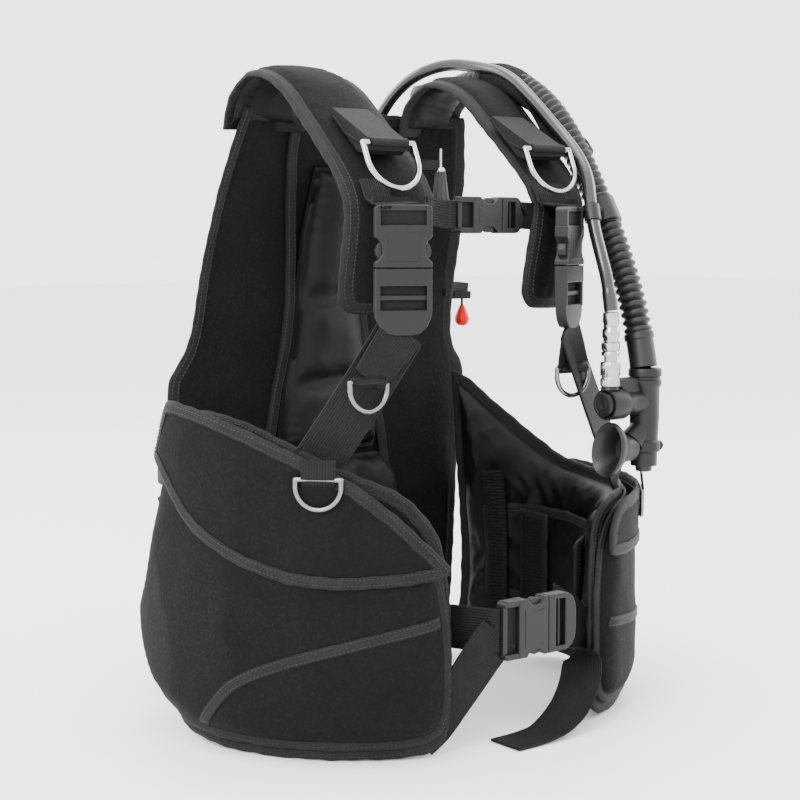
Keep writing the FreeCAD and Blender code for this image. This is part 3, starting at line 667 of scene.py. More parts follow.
class Runner(Surface):
    """A strap's curve seen from the side: distance down its length, then distance across."""

    def __init__(self, profile: Sequence[Pair], middle: float, crown: float, half: float,
                 twist: float) -> None:
        """Rounds the profile.

        Args:
            profile: Points of depth and height down the strap.
            middle: The strap's middle across the vest.
            crown: How far its edges drop below its middle.
            half: Half its width.
            twist: How steeply the strap's tip turns to face the side.
        """
        self.twist = twist
        self.line = smooth_line(profile, 0.003)
        gaps = np.linalg.norm(np.diff(self.line, axis=0), axis=1)
        self.run = np.concatenate(([0.0], np.cumsum(gaps)))
        self.normal = headings(self.line)[:, ::-1] * np.array([-1.0, 1.0])
        self.middle, self.crown, self.half = middle, crown, half

    def at_height(self, height: float) -> float:
        """The distance down the strap's front at which it passes a height."""
        crest = int(np.argmax(self.line[:, 1]))
        return float(np.interp(-height, -self.line[crest:, 1], self.run[crest:]))

    def place(self, first: np.ndarray, second: np.ndarray, lift: np.ndarray) -> np.ndarray:
        """Finds points in the row frame, as Surface.place does."""
        drop = lift - self.crown * ((second - self.middle) / self.half) ** 2
        spots = [np.interp(first, self.run, self.line[:, axis])
                 - drop * np.interp(first, self.run, self.normal[:, axis]) for axis in (0, 1)]
        crest = self.run[int(np.argmax(self.line[:, 1]))]
        turned = np.clip((first - crest) / (self.run[-1] - crest), 0, 1) ** 1.5
        shift = self.twist * np.sign(self.middle) * (second - self.middle) * turned
        return np.stack((second + 0 * first, RING_Y + spots[0] + shift, spots[1]), -1)


@dataclass(frozen=True)
class Folds:
    """Soft creases in cloth: bent waves in a few directions."""

    height: float
    size: float
    angle: float = 0.0
    spread: float = 0.6
    seed: int = 1
    sharp: float = 1.0

    def __call__(self, first: np.ndarray, second: np.ndarray) -> np.ndarray:
        """The creases' height.

        Args:
            first: The first distance along the surface.
            second: The second distance.

        Returns:
            A lift at each point, with a mean near zero.
        """
        rng = random.Random(self.seed)
        total = np.zeros_like(first + second)
        share = 1.0
        for octave in range(5):
            turn = self.angle + rng.uniform(-self.spread, self.spread)
            wave = self.size * rng.uniform(0.75, 1.3) / (1 + 0.55 * octave)
            across = first * math.cos(turn) + second * math.sin(turn)
            beside = second * math.cos(turn) - first * math.sin(turn)
            bend = np.sin(beside * 2 * math.pi / (wave * 2.6) + rng.uniform(0, 6.3))
            swell = 0.6 + 0.4 * np.sin(beside * 2 * math.pi / (wave * 3.7) + rng.uniform(0, 6.3))
            ridge = np.abs(np.sin(across * math.pi / wave + bend * 1.3 + rng.uniform(0, 6.3)))
            total += share * swell * ((1 - ridge) ** self.sharp - 0.4)
            share *= 0.62
        return self.height * total


FLAT = Folds(0.0, 0.1)


@dataclass
class Patch:
    """A padded panel with a flat sewn rim, lying on a surface."""

    surface: Surface
    low: Sequence[Pair]
    high: Sequence[Pair]
    outer: float
    inner: float
    rim_lift: float = 0.0
    seam: float = 0.009
    rise: float = 0.018
    thin: float = 0.0015
    outer_folds: Folds = FLAT
    inner_folds: Folds = FLAT
    pucker: float = 0.0
    cell: float = 0.004
    channels: Sequence[tuple[float, Sequence[Pair]]] = ()
    slim: Optional[Triple] = None
    rim: np.ndarray = field(init=False)

    def __post_init__(self) -> None:
        """Rounds the outline and walks once round it."""
        self.bottom = smooth_line(self.low, RIM_STEP)
        self.top = smooth_line(self.high, RIM_STEP)
        front, rear = (even_line(np.array(ends), RIM_STEP)[1:-1] for ends in (
            (self.top[0], self.bottom[0]), (self.bottom[-1], self.top[-1])))
        loop = np.vstack([self.bottom, rear, self.top[::-1], front])
        self.rim = even_line(np.vstack([loop, loop[:1]]), RIM_STEP)[:-1]

    def depth(self, spots: np.ndarray) -> tuple[np.ndarray, np.ndarray]:
        """How far inside the rim points lie.

        Args:
            spots: Points of the two distances.

        Returns:
            The distance to the rim, and how far round the rim the nearest place is.
        """
        near = np.empty(len(spots))
        where = np.empty(len(spots))
        for start in range(0, len(spots), 2000):
            part = spots[start:start + 2000]
            gaps = np.linalg.norm(part[:, None] - self.rim[None], axis=2)
            where[start:start + 2000] = gaps.argmin(1) * RIM_STEP
            near[start:start + 2000] = gaps.min(1)
        return near, where

    def lifts(self, spots: np.ndarray) -> tuple[np.ndarray, np.ndarray]:
        """How far the two faces stand off the surface.

        Args:
            spots: Points of the two distances.

        Returns:
            The outer face's lift and the inner face's.
        """
        deep, where = self.depth(spots)
        share = np.clip((deep - self.seam) / self.rise, 0.0, 1.0)
        full = np.sqrt(share * (2 - share))
        gather = self.pucker * np.sin(where * 2 * math.pi / 0.011) * np.exp(
            -((deep - self.seam - 0.006) / 0.006) ** 2)
        outer = self.rim_lift + self.thin + (self.outer - self.rim_lift - self.thin) * full
        inner_full = self.inner
        if self.slim is not None:
            start, end, share_left = self.slim
            fade = np.clip((spots[:, 0] - start) / (end - start), 0.0, 1.0)
            inner_full = self.inner * (1 - (1 - share_left) * fade)
        inner = self.rim_lift - self.thin + (inner_full - self.rim_lift + self.thin) * full
        outer = outer + full * self.outer_folds(spots[:, 0], spots[:, 1]) + gather
        inner = inner - full * self.inner_folds(spots[:, 0], spots[:, 1]) - gather
        for pull, line in self.channels:
            path = smooth_line(line, 0.004)
            gaps = np.linalg.norm(spots[:, None] - path[None], axis=2).min(1)
            dent = pull * np.exp(-(gaps / 0.009) ** 2) * full
            outer = outer - dent * np.sign(self.outer - self.rim_lift)
            inner = inner - dent * np.sign(self.inner - self.rim_lift)
        return outer, inner

    def build(self, name: str, outside: Finish, inside: Finish) -> bpy.types.Object:
        """Makes the panel as one closed form.

        Args:
            name: The piece's name.
            outside: The outer face's finish.
            inside: The inner face's finish.

        Returns:
            The object.
        """
        first_0 = min(self.bottom[0, 0], self.top[0, 0])
        first_1 = max(self.bottom[-1, 0], self.top[-1, 0])
        rows = max(8, int((first_1 - first_0) / self.cell))
        even = np.linspace(0, 1, rows + 1)
        firsts = first_0 + (first_1 - first_0) * (even - 0.08 * np.sin(2 * math.pi * even))
        lows = np.interp(firsts, self.bottom[:, 0], self.bottom[:, 1])
        highs = np.interp(firsts, self.top[:, 0], self.top[:, 1])
        columns = max(8, int((highs - lows).max() / self.cell))
        share = np.linspace(0, 1, columns + 1)
        share = share - 0.08 * np.sin(2 * math.pi * share)
        seconds = lows[:, None] + (highs - lows)[:, None] * share[None]
        spots = np.stack((np.repeat(firsts, columns + 1), seconds.ravel()), 1)
        outer, inner = self.lifts(spots)
        faces_out = self.surface.place(spots[:, 0], spots[:, 1], outer)
        faces_in = self.surface.place(spots[:, 0], spots[:, 1], inner)
        index = np.arange(len(spots)).reshape(rows + 1, columns + 1)
        quads = np.stack((index[:-1, :-1], index[1:, :-1], index[1:, 1:], index[:-1, 1:]), -1).reshape(-1, 4)
        edge = np.concatenate((index[:, 0], index[-1, 1:], index[-2::-1, -1], index[0, -2:0:-1]))
        ahead = np.roll(edge, -1)
        far = len(spots)
        band = np.stack((edge, ahead, ahead + far, edge + far), 1)
        faces = np.vstack((quads, quads[:, ::-1] + far, band))
        picks = [0] * len(quads) + [1] * len(quads) + [0] * len(band)
        piece = solid(name, np.vstack((faces_out, faces_in)), faces, [outside, inside],
                      np.vstack((spots, spots)), picks)
        set_normals_out(piece)
        return piece

    def inward(self) -> np.ndarray:
        """The direction from the rim into the panel at each point of the rim."""
        loop = self.rim
        run = headings(sum(np.roll(loop, shift, 0) for shift in range(-3, 4)) / 7, True)
        side = np.stack((-run[:, 1], run[:, 0]), 1)
        area = np.sum(loop[:, 0] * np.roll(loop[:, 1], -1) - np.roll(loop[:, 0], -1) * loop[:, 1])
        return side * np.sign(area)

    def binding(self, name: str, width: float) -> bpy.types.Object:
        """Folds tape over the rim, with two rows of stitches on the outer face and one on the inner face.

        Args:
            name: The piece's name.
            width: How far the tape reaches in from the rim.

        Returns:
            The tape and its stitches as one object.
        """
        line, into = self.rim, self.inward()
        high = self.thin + 0.0009
        section = [(width, high - 0.0012), (width, high), (width * 0.5, high + 0.0003),
                   (0.0012, high + 0.0001), (-0.0008, high * 0.6), (-0.0013, 0.0),
                   (-0.0008, -high * 0.6), (0.0012, -high - 0.0001), (width * 0.5, -high - 0.0003),
                   (width, -high), (width, 0.0012 - high)]
        wave = 0.0003 * np.sin(np.arange(len(line)) * 0.9) + 0.00025 * np.sin(np.arange(len(line)) * 0.37)
        rings = np.stack([self.surface.place(
            line[:, 0] + into[:, 0] * (reach + wave), line[:, 1] + into[:, 1] * (reach + wave),
            np.full(len(line), self.rim_lift + lift)) for reach, lift in section], 1)
        tape = sweep(name, rings, Finish.TAPE, True, capped=True)
        set_normals_out(tape)
        rows = [tape]
        for count, (reach, sign) in enumerate(((0.0024, 1), (width - 0.0022, 1), (width - 0.0022, -1))):
            level = self.rim_lift + sign * (high + 0.0004)
            rows.append(self.stitches(f"{name}_row{count}", line + into * reach, sign,
                                      lambda spots, level=level: np.full(len(spots), level), True))
        return join(name, rows)

    def stitches(self, name: str, line: np.ndarray, sign: int,
                 level: Callable[[np.ndarray], np.ndarray], closed: bool = False) -> bpy.types.Object:
        """Sews stitches along a line on the panel's surface.

        Args:
            name: The piece's name.
            line: Points of the two distances.
            sign: 1 on the outer face or -1 on the inner one.
            level: Gives the stitches' lift at each point.
            closed: Whether the line closes.

        Returns:
            The object.
        """
        stops = even_line(np.vstack([line, line[:1]]) if closed else line, STITCH_PITCH)
        back, ahead = stops[:-1], stops[:-1] + np.diff(stops, axis=0) * STITCH_SHARE
        starts, ends, above = (self.surface.place(spots[:, 0], spots[:, 1], level(spots) + more)
                               for spots, more in ((back, 0.0), (ahead, 0.0), (back, 0.001)))
        return stitch_row(name, starts, ends, unit(above - starts) * sign)

    def band(self, name: str, line: Sequence[Pair], width: float, thick: float = 0.0012) -> bpy.types.Object:
        """Lays flat tape on the outer face along a line, sewn at both edges.

        Args:
            name: The piece's name.
            line: Points of the two distances.
            width: The tape's width.
            thick: Its thickness.

        Returns:
            The tape and its stitches as one object.
        """
        path = smooth_line(line, RIM_STEP)
        run = headings(path)
        side = np.stack((-run[:, 1], run[:, 0]), 1)
        rings = []
        for reach, rise in ((-0.5, -0.3), (-0.5, 0.7), (-0.25, 1.0), (0.25, 1.0), (0.5, 0.7), (0.5, -0.3)):
            spots = path + side * reach * width
            rings.append(self.surface.place(spots[:, 0], spots[:, 1], self.lifts(spots)[0] + rise * thick))
        tape = sweep(name, np.stack(rings, 1), Finish.TAPE)
        set_normals_out(tape)
        rows = [tape]
        for count, reach in enumerate((-0.32, 0.32)):
            rows.append(self.stitches(
                f"{name}_row{count}", path + side * reach * width, 1,
                lambda spots: self.lifts(spots)[0] + thick + 0.0003))
        return join(name, rows)


def set_normals_out(piece: bpy.types.Object) -> None:
    """Turns a closed mesh's faces outward."""
    mesh = bmesh.new()
    mesh.from_mesh(piece.data)
    bmesh.ops.recalc_face_normals(mesh, faces=mesh.faces)
    mesh.to_mesh(piece.data)
    mesh.free()


def strip(name: str, points: Sequence[Triple], across: Sequence[Triple], width: float,
          thick: float = 0.0024, finish: Finish = Finish.WEBBING, step: float = 0.004,
          sag: float = 0.0) -> bpy.types.Object:
    """Runs a flat strap along a line in the row frame.

    Args:
        name: The piece's name.
        points: The middle line's points.
        across: The strap's width direction at its first and last point, or at each point.
        width: Its width.
        thick: Its thickness.
        finish: Its finish.
        step: The distance between stations.
        sag: How far the middle hangs below a straight run.

    Returns:
        The object.
    """
    line = smooth_line(points, step)
    share = np.linspace(0, 1, len(line))
    line[:, 2] -= sag * 4 * share * (1 - share)
    ways = np.array(across, float)
    stops = np.linspace(0, 1, len(ways))
    wide = unit(np.stack([np.interp(share, stops, ways[:, axis]) for axis in range(3)], 1))
    run = headings(line)
    up = unit(np.cross(run, wide))
    wide = unit(np.cross(up, run))
    half, deep = width / 2, thick / 2
    section = [(-half, 0), (-half * 0.97, deep), (-half * 0.5, deep * 1.08), (half * 0.5, deep * 1.08),
               (half * 0.97, deep), (half, 0), (half * 0.97, -deep), (-half * 0.97, -deep)]
    rings = np.stack([line + wide * a + up * b for a, b in section], 1)
    piece = sweep(name, rings, finish)
    set_normals_out(piece)
    return piece


def at(x: float, y: float, z: float) -> Triple:
    """A point from the ring's middle, in the row frame."""
    return (x, y + RING_Y, z)


def slab(name: str, outline: Sequence[Pair], centre: Triple, across: Triple, up: Triple, thick: float,
         finish: Finish = Finish.ACETAL, offset: float = 0.0, edge: float = 0.0011
         ) -> bpy.types.Object:
    """Makes a moulded plate of one outline with rounded edges.

    Args:
        name: The piece's name.
        outline: The outline's points across and up.
        centre: Where the outline's origin lies in the row frame.
        across: The outline's first direction.
        up: The outline's second direction.
        thick: The plate's thickness.
        finish: Its finish.
        offset: How far its middle stands off the outline's plane.
        edge: The radius of its edges.

    Returns:
        The object.
    """
    wide, high = unit(np.array(across, float)), unit(np.array(up, float))
    out = np.cross(wide, high)
    flat = np.array([np.array(centre) + wide * a + high * b for a, b in outline])
    front = flat + out * (offset + thick / 2)
    rear = flat + out * (offset - thick / 2)
    count = len(flat)
    faces = [list(range(count)), [2 * count - 1 - spot for spot in range(count)]]
    faces += [[spot, spot + count, (spot + 1) % count + count, (spot + 1) % count] for spot in range(count)]
    piece = solid(name, np.vstack((front, rear)), faces, [finish])
    set_normals_out(piece)
    bevel = piece.modifiers.new("edges", "BEVEL")
    bevel.width = edge
    bevel.segments = 3
    bevel.limit_method = "ANGLE"
    bevel.angle_limit = math.radians(25)
    bevel.harden_normals = True
    with bpy.context.temp_override(object=piece, active_object=piece, selected_objects=[piece]):
        bpy.ops.object.modifier_apply(modifier=bevel.name)
    return piece


def horn(name: str, base: Triple, axis: Triple, first_way: Triple, stations: Sequence[Triple],
         finish: Finish, flutes: int = 0, flute: float = 0.0) -> bpy.types.Object:
    """Skins oval sections along an axis.

    Args:
        name: The piece's name.
        base: The axis's first point.
        axis: The axis's direction.
        first_way: The direction of the ovals' first radius.
        stations: The distance along the axis and both radii of each oval.
        finish: Its finish.
        flutes: How many ribs run along it.
        flute: How deep the grooves between the ribs are, as a share of the radius.

    Returns:
        The object.
    """
    way, first = unit(np.array(axis, float)), unit(np.array(first_way, float))
    second = np.cross(way, first)
    turns = np.linspace(0, 2 * math.pi, 80 if flutes else 48, endpoint=False)
    shape = 1 - flute * (0.5 - 0.5 * np.cos(turns * flutes))
    rings = np.stack([np.array(base) + way * along + (np.cos(turns) * shape)[:, None] * first * ra
                      + (np.sin(turns) * shape)[:, None] * second * rb for along, ra, rb in stations])
    piece = sweep(name, rings, finish)
    set_normals_out(piece)
    return piece


def route(points: Sequence[Triple]) -> np.ndarray:
    """The smooth line of a hose whose control points are given.

    Args:
        points: Control points from the ring's middle, in metres.

    Returns:
        Points along the hose in the row frame.
    """
    curve = bpy.data.curves.new("hose_line", "CURVE")
    curve.dimensions = "3D"
    curve.resolution_u = 24
    spline = curve.splines.new("NURBS")
    spline.points.add(len(points) - 1)
    for point, (x, y, z) in zip(spline.points, points):
        point.co = (x, y + RING_Y, z, 1.0)
    spline.order_u = 3
    spline.use_endpoint_u = True
    holder = bpy.data.objects.new("hose_line", curve)
    bpy.context.scene.collection.objects.link(holder)
    mesh = bpy.data.meshes.new_from_object(holder)
    line = np.array([vertex.co for vertex in mesh.vertices], float)
    bpy.data.objects.remove(holder)
    bpy.data.curves.remove(curve)
    bpy.data.meshes.remove(mesh)
    return line


def frames(line: np.ndarray) -> tuple[np.ndarray, np.ndarray]:
    """Two directions square to a line that don't twist round it.

    Args:
        line: The points.

    Returns:
        The two directions at each point.
    """
    run = headings(line)
    first = np.zeros_like(run)
    start = np.cross(run[0], [1.0, 0.0, 0.0])
    first[0] = start / np.linalg.norm(start)
    for count in range(1, len(line)):
        carried = first[count - 1] - run[count] * np.dot(first[count - 1], run[count])
        first[count] = carried / np.linalg.norm(carried)
    return first, np.cross(run, first)


def pipe(name: str, line: np.ndarray, radii: np.ndarray, finish: Finish, around: int = 28
         ) -> bpy.types.Object:
    """Skins a round tube whose radius changes along a line.

    Args:
        name: The piece's name.
        line: The middle line.
        radii: The radius at each point.
        finish: Its finish.
        around: How many points go round it.

    Returns:
        The object.
    """
    first, second = frames(line)
    turns = np.linspace(0, 2 * math.pi, around, endpoint=False)
    rings = line[:, None] + radii[:, None, None] * (
        np.cos(turns)[None, :, None] * first[:, None] + np.sin(turns)[None, :, None] * second[:, None])
    piece = sweep(name, rings, finish)
    set_normals_out(piece)
    return piece


def spin(name: str, base: Triple, axis: Triple, profile: Sequence[Pair], finish: Finish
         ) -> bpy.types.Object:
    """Turns a profile about an axis, as on a lathe.

    Args:
        name: The piece's name.
        base: The axis's first point, in the row frame.
        axis: The axis's direction.
        profile: Points of distance along the axis and radius.
        finish: Its finish.

    Returns:
        The object.
    """
    way = unit(np.array(axis, float))
    helper = np.array([0.0, 0.0, 1.0]) if abs(way[2]) < 0.9 else np.array([0.0, 1.0, 0.0])
    first = unit(np.cross(way, helper))
    second = np.cross(way, first)
    turns = np.linspace(0, 2 * math.pi, LATHE_POINTS, endpoint=False)
    rings = np.stack([np.array(base) + way * along + max(radius, 1e-5) * (
        np.cos(turns)[:, None] * first + np.sin(turns)[:, None] * second)
        for along, radius in profile])
    piece = sweep(name, rings, finish)
    set_normals_out(piece)
    return piece


def dress(piece: bpy.types.Object, body: str, replaced: Sequence[str] = ()
          ) -> bpy.types.Object:
    """Puts a piece on its body and hides what it stands for.

    Args:
        piece: The piece, in place.
        body: The CAD body that carries it.
        replaced: The CAD nodes that it stands for.

    Returns:
        The piece.
    """
    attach(piece, body)
    if replaced:
        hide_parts(*replaced)
    log.info("%s rides on %s", piece.name, body)
    return piece


# Sub-assemblies ---------------------------------------------------------------------------


@dataclass
class Studio:
    """The camera, the floor and the soft lights."""

    azimuth: float = -37.89
    elevation: float = 5.62
    distance: float = 1.707
    target: Triple = (0.0171, -0.0672, 0.294)
    lens: float = 77.07

    def build(self) -> None:
        """Sets up the camera, the floor, the world and the lights."""
        turn, tilt = math.radians(self.azimuth), math.radians(self.elevation)
        back = Vector((math.sin(turn) * math.cos(tilt), -math.cos(turn) * math.cos(tilt),
                       math.sin(tilt)))
        camera = bpy.data.objects.new("camera", bpy.data.cameras.new("camera"))
        camera.location = Vector(self.target) + back * self.distance
        camera.rotation_euler = back.to_track_quat("Z", "Y").to_euler()
        camera.data.lens = self.lens
        camera.data.sensor_width = 36.0
        camera.data.clip_end = 60.0
        bpy.context.scene.collection.objects.link(camera)
        bpy.context.scene.camera = camera
        self.floor()
        self.sky()
        # Each light: direction from the vest, distance, size and strength.
        for name, way, size, power in (
                ("key", (-1.10, -0.55, 0.75), 1.1, 62.0), ("rim", (-0.7, 1.1, 0.9), 1.2, 42.0),
                ("fill", (1.3, -0.35, 0.6), 1.2, 30.0), ("top", (0.1, 0.1, 1.5), 1.5, 50.0)):
            lamp = bpy.data.lights.new(name, "AREA")
            lamp.energy = power
            lamp.size = size
            holder = bpy.data.objects.new(name, lamp)
            place = Vector(way) * 1.7
            holder.location = place + Vector((0, 0, 0.3))
            holder.rotation_euler = place.to_track_quat("Z", "Y").to_euler()
            bpy.context.scene.collection.objects.link(holder)

    def floor(self) -> None:
        """Lays the pale floor."""
        paint = Paint("pale_floor", (0.86, 0.86, 0.86), 0.55)
        cloud = paint.cloud(3.0, 2.0, 0.5)
        paint.tint(cloud, (0.84, 0.84, 0.84), (0.88, 0.88, 0.88))
        mesh = bpy.data.meshes.new("floor")
        reach = 12.0
        mesh.from_pydata([(-reach, -reach, -0.0006), (reach, -reach, -0.0006), (reach, reach, -0.0006),
                          (-reach, reach, -0.0006)], [], [(0, 1, 2, 3)])
        mesh.materials.append(paint.material)
        ground = bpy.data.objects.new("floor", mesh)
        bpy.context.scene.collection.objects.link(ground)

    def sky(self) -> None:
        """Lights the scene evenly from a pale world."""
        world = bpy.data.worlds.new("studio")
        world.use_nodes = True
        world.node_tree.nodes["Background"].inputs["Color"].default_value = (1.0, 1.0, 1.0, 1.0)
        world.node_tree.nodes["Background"].inputs["Strength"].default_value = 3.4
        bpy.context.scene.world = world


@dataclass
class Hoses:
    """The corrugated hose, the low-pressure hose and the fabric sleeve that holds them."""

    hose_points: Sequence[Triple] = (
        (0.148, 0.108, 0.603), (0.148, 0.066, 0.613), (0.148, 0.022, 0.617), (0.148, -0.025, 0.612),
        (0.148, -0.072, 0.586), (0.149, -0.108, 0.545), (0.150, -0.142, 0.490), (0.150, -0.174, 0.432),
        (0.150, -0.197, 0.375), (0.150, -0.205, 0.3332))
    feed_points: Sequence[Triple] = (
        (0.104, -0.207, 0.388), (0.103, -0.204, 0.412), (0.102, -0.196, 0.437), (0.104, -0.184, 0.462),
        (0.108, -0.174, 0.488), (0.117, -0.161, 0.513), (0.123, -0.139, 0.536), (0.126, -0.110, 0.559),
        (0.126, -0.076, 0.588), (0.126, -0.036, 0.618), (0.124, 0.008, 0.628), (0.116, 0.046, 0.634),
        (0.100, 0.082, 0.624), (0.090, 0.112, 0.600), (0.087, 0.134, 0.570), (0.085, 0.153, 0.535),
        (0.082, 0.168, 0.497), (0.080, 0.175, 0.458), (0.080, 0.177, 0.420))
    hose_diameter: float = 0.027
    feed_diameter: float = 0.012
    ridge_pitch: float = 0.0080
    swing_start: Triple = (0.150, -0.155, 0.585)
    swing_end: Triple = (0.150, -0.205, 0.500)

    def build(self) -> None:
        """Builds both hoses and the sleeve."""
        self.corrugated()
        self.feed()
        self.keeper()
        self.sleeve()

    def corrugated(self) -> None:
        """Moulds the wide hose with its ridges and its plain cuffs."""
        line = even_line(route(self.hose_points), self.ridge_pitch / 8)
        run = np.arange(len(line)) * self.ridge_pitch / 8
        total = run[-1]
        radius = self.hose_diameter / 2
        ridge = 0.5 + 0.5 * np.cos(run * 2 * math.pi / self.ridge_pitch)
        radii = radius - 0.0031 * (1 - ridge) ** 1.6
        cuff = (run > total - 0.034) | (run < 0.028)
        radii = np.where(cuff, radius - 0.0004 + 0.0012 * (np.abs(run - total + 0.030) < 0.003), radii)
        hose = pipe("corrugated_hose_tube", line, radii, Finish.RUBBER)
        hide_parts("corrugated_hose")
        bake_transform(hose)
        log.info("corrugated hose, %.0f mm", total * 1000)

    def feed(self) -> None:
        """Runs the smooth low-pressure hose with its crimped end sleeves."""
        line = even_line(route(self.feed_points), 0.0025)
        run = np.arange(len(line)) * 0.0025
        total = run[-1]
        radius = self.feed_diameter / 2
        radii = radius + 0.0006 * ((run < 0.018) | (run > total - 0.020))
        hose = pipe("feed_hose_tube", line, radii, Finish.HOSE, 24)
        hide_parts("lp_hose")
        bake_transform(hose)
        log.info("low-pressure hose, %.0f mm", total * 1000)

    def keeper(self) -> None:
        """Straps both hoses together below the shoulder."""
        hose, feed = route(self.hose_points), route(self.feed_points)
        level, ahead = 0.478, RING_Y - 0.10
        hose = hose[(hose[:, 1] < ahead) & (np.abs(hose[:, 2] - level) < 0.012)]
        feed = feed[(feed[:, 1] < ahead) & (np.abs(feed[:, 2] - level) < 0.008)]
        cuff = pipe("keeper_cuff", hose, np.full(len(hose), 0.0152), Finish.RUBBER)
        ring = pipe("keeper_ring", feed, np.full(len(feed), 0.0079), Finish.RUBBER)
        ends = [tuple(hose[len(hose) // 2]), tuple(feed[len(feed) // 2])]
        link = strip("keeper_link", [ends[0], tuple((np.array(ends[0]) + ends[1]) / 2), ends[1]],
                     [(0, -0.4, 1), (0, -0.4, 1)], 0.013, 0.004, Finish.RUBBER)
        band = join("hose_keeper_band", [cuff, ring, link])
        dress(band, "inflator")

    def sleeve(self) -> None:
        """Wraps the hoses in a fabric sleeve over the shoulder, bound at both ends."""
        # Middle depth and height, half width and half height from back to front.
        stations = [(0.008, 0.6135, 0.0225, 0.0185), (-0.020, 0.612, 0.0235, 0.0200),
                    (-0.055, 0.597, 0.0240, 0.0205), (-0.085, 0.572, 0.0240, 0.0205),
                    (-0.108, 0.545, 0.0235, 0.0200)]
        rows = smooth_line(stations, 0.004)
        way = headings(rows[:, :2])
        turns = np.linspace(0, 2 * math.pi, 48, endpoint=False)
        shape = np.stack((np.sign(np.cos(turns)) * np.abs(np.cos(turns)) ** 0.75,
                          np.sign(np.sin(turns)) * np.abs(np.sin(turns)) ** 0.85), 1)
        rings = []
        for count, (row, heading) in enumerate(zip(rows, way)):
            ripple = 1 + 0.018 * np.sin(turns * 3 + count * 0.35) + 0.012 * np.sin(turns * 7 - count * 0.6)
            side = shape[:, 0] * row[2] * ripple
            rise = shape[:, 1] * row[3] * ripple
            rings.append(np.stack((0.1425 + side, RING_Y + row[0] - heading[1] * rise,
                                   row[1] - heading[0] * rise), 1))
        cover = sweep("hose_sleeve_cover", np.array(rings), Finish.CLOTH, capped=False)
        wall = cover.modifiers.new("wall", "SOLIDIFY")
        wall.thickness = 0.0016
        dress(cover, "vest", ["hose_sleeve"])
        for label, part in (("rear", slice(0, 3)), ("front", slice(-4, None))):
            rims = np.array(rings)[part]
            middle = rims.mean(1, keepdims=True)
            tape = sweep(f"hose_sleeve_{label}_tape", middle + (rims - middle) * 1.045, Finish.TAPE,
                         capped=False)
            wall = tape.modifiers.new("wall", "SOLIDIFY")
            wall.thickness = 0.003
            dress(tape, "vest")


@dataclass
class Lobe:
    """One side's air lobe with its cargo pocket and the pocket's flap."""

    side: int
    name: str
    rim_low: Sequence[Pair]
    rim_high: Sequence[Pair]
    pocket_low: Sequence[Pair]
    pocket_high: Sequence[Pair]
    flap_low: Sequence[Pair]
    flap_high: Sequence[Pair]
    seams: Sequence[Sequence[Pair]]
    ring_at: Pair = (46.0, 0.247)
    radius: float = 0.212
    thick: float = 0.027
    pocket_depth: float = 0.012
    seed: int = 3

    def build(self) -> None:
        """Builds the lobe, the pocket, the flap and their bindings."""
        self.air_lobe()
        self.pocket()
        self.flap()

    def air_lobe(self) -> None:
        """Sews the lobe: woven outside, coated lining inside, bound all round."""
        ring = Round(self.side, self.radius)
        patch = Patch(ring, ring.line(self.rim_low), ring.line(self.rim_high), 0.0, -self.thick,
                      rim_lift=-0.0030, seam=0.010, rise=0.030,
                      inner_folds=Folds(0.0062, 0.070, 0.5, 1.1, self.seed, 1.4),
                      outer_folds=Folds(0.0006, 0.09, 0.2, 1.0, self.seed + 5), pucker=0.0008,
                      cell=0.0036)
        shell = patch.build(f"{self.name}_lobe_shell", Finish.SMOOTH_CLOTH, Finish.LINING)
        dress(shell, "vest", [f"{self.name}_lobe"])
        dress(patch.binding(f"{self.name}_lobe_binding", 0.011), "vest")

    def pocket(self) -> None:
        """Sews the pocket bag with its curved seams."""
        ring = Round(self.side, self.radius)
        patch = Patch(ring, ring.line(self.pocket_low), ring.line(self.pocket_high),
                      self.pocket_depth + 0.002, 0.0006, rim_lift=0.0022, seam=0.007, rise=0.022, thin=0.0012,
                      outer_folds=Folds(0.0022, 0.13, 0.9, 0.9, self.seed + 11, 1.2), pucker=0.0004)
        bag = patch.build(f"{self.name}_pocket_bag", Finish.CLOTH, Finish.CLOTH)
        dress(bag, "vest", [f"{self.name}_pocket"])
        dress(patch.binding(f"{self.name}_pocket_binding", 0.010), "vest")
        for count, seam in enumerate(self.seams):
            dress(patch.band(f"{self.name}_pocket_seam_{count}", ring.line(seam), 0.010), "vest")

    def flap(self) -> None:
        """Sews the pocket's flap, bound round its hem."""
        ring = Round(self.side, self.radius + self.pocket_depth + 0.0016)
        patch = Patch(ring, ring.line(self.flap_low), ring.line(self.flap_high), 0.0030, 0.0002,
                      rim_lift=0.0014, seam=0.008, rise=0.012, thin=0.0010,
                      outer_folds=Folds(0.0012, 0.11, 0.7, 0.8, self.seed + 17, 1.1))
        cloth = patch.build(f"{self.name}_flap_cloth", Finish.CLOTH, Finish.LINING)
        body = f"{self.name}_pocket_flap"
        dress(cloth, body, [body])
        dress(patch.binding(f"{self.name}_flap_binding", 0.010), body)
        self.ring_tab(ring, body)

    def ring_tab(self, ring: Round, body: str) -> None:
        """Sews the webbing loop that holds the pocket's ring on the flap."""
        angle, bar = self.ring_at
        arcs = np.full(5, ring.arc(angle))
        heights = np.array([bar - 0.004, bar + 0.002, bar + 0.008, bar + 0.015, bar + 0.021])
        line = ring.place(arcs, heights, np.array([0.0010, 0.0062, 0.0062, 0.0050, 0.0046]))
        turn = math.radians(angle)
        tab = strip(f"{self.name}_pocket_ring_tab", [tuple(point) for point in line],
                    [(self.side * math.cos(turn), math.sin(turn), 0)] * 2, 0.030, 0.0022, step=0.002)
        dress(tab, body)


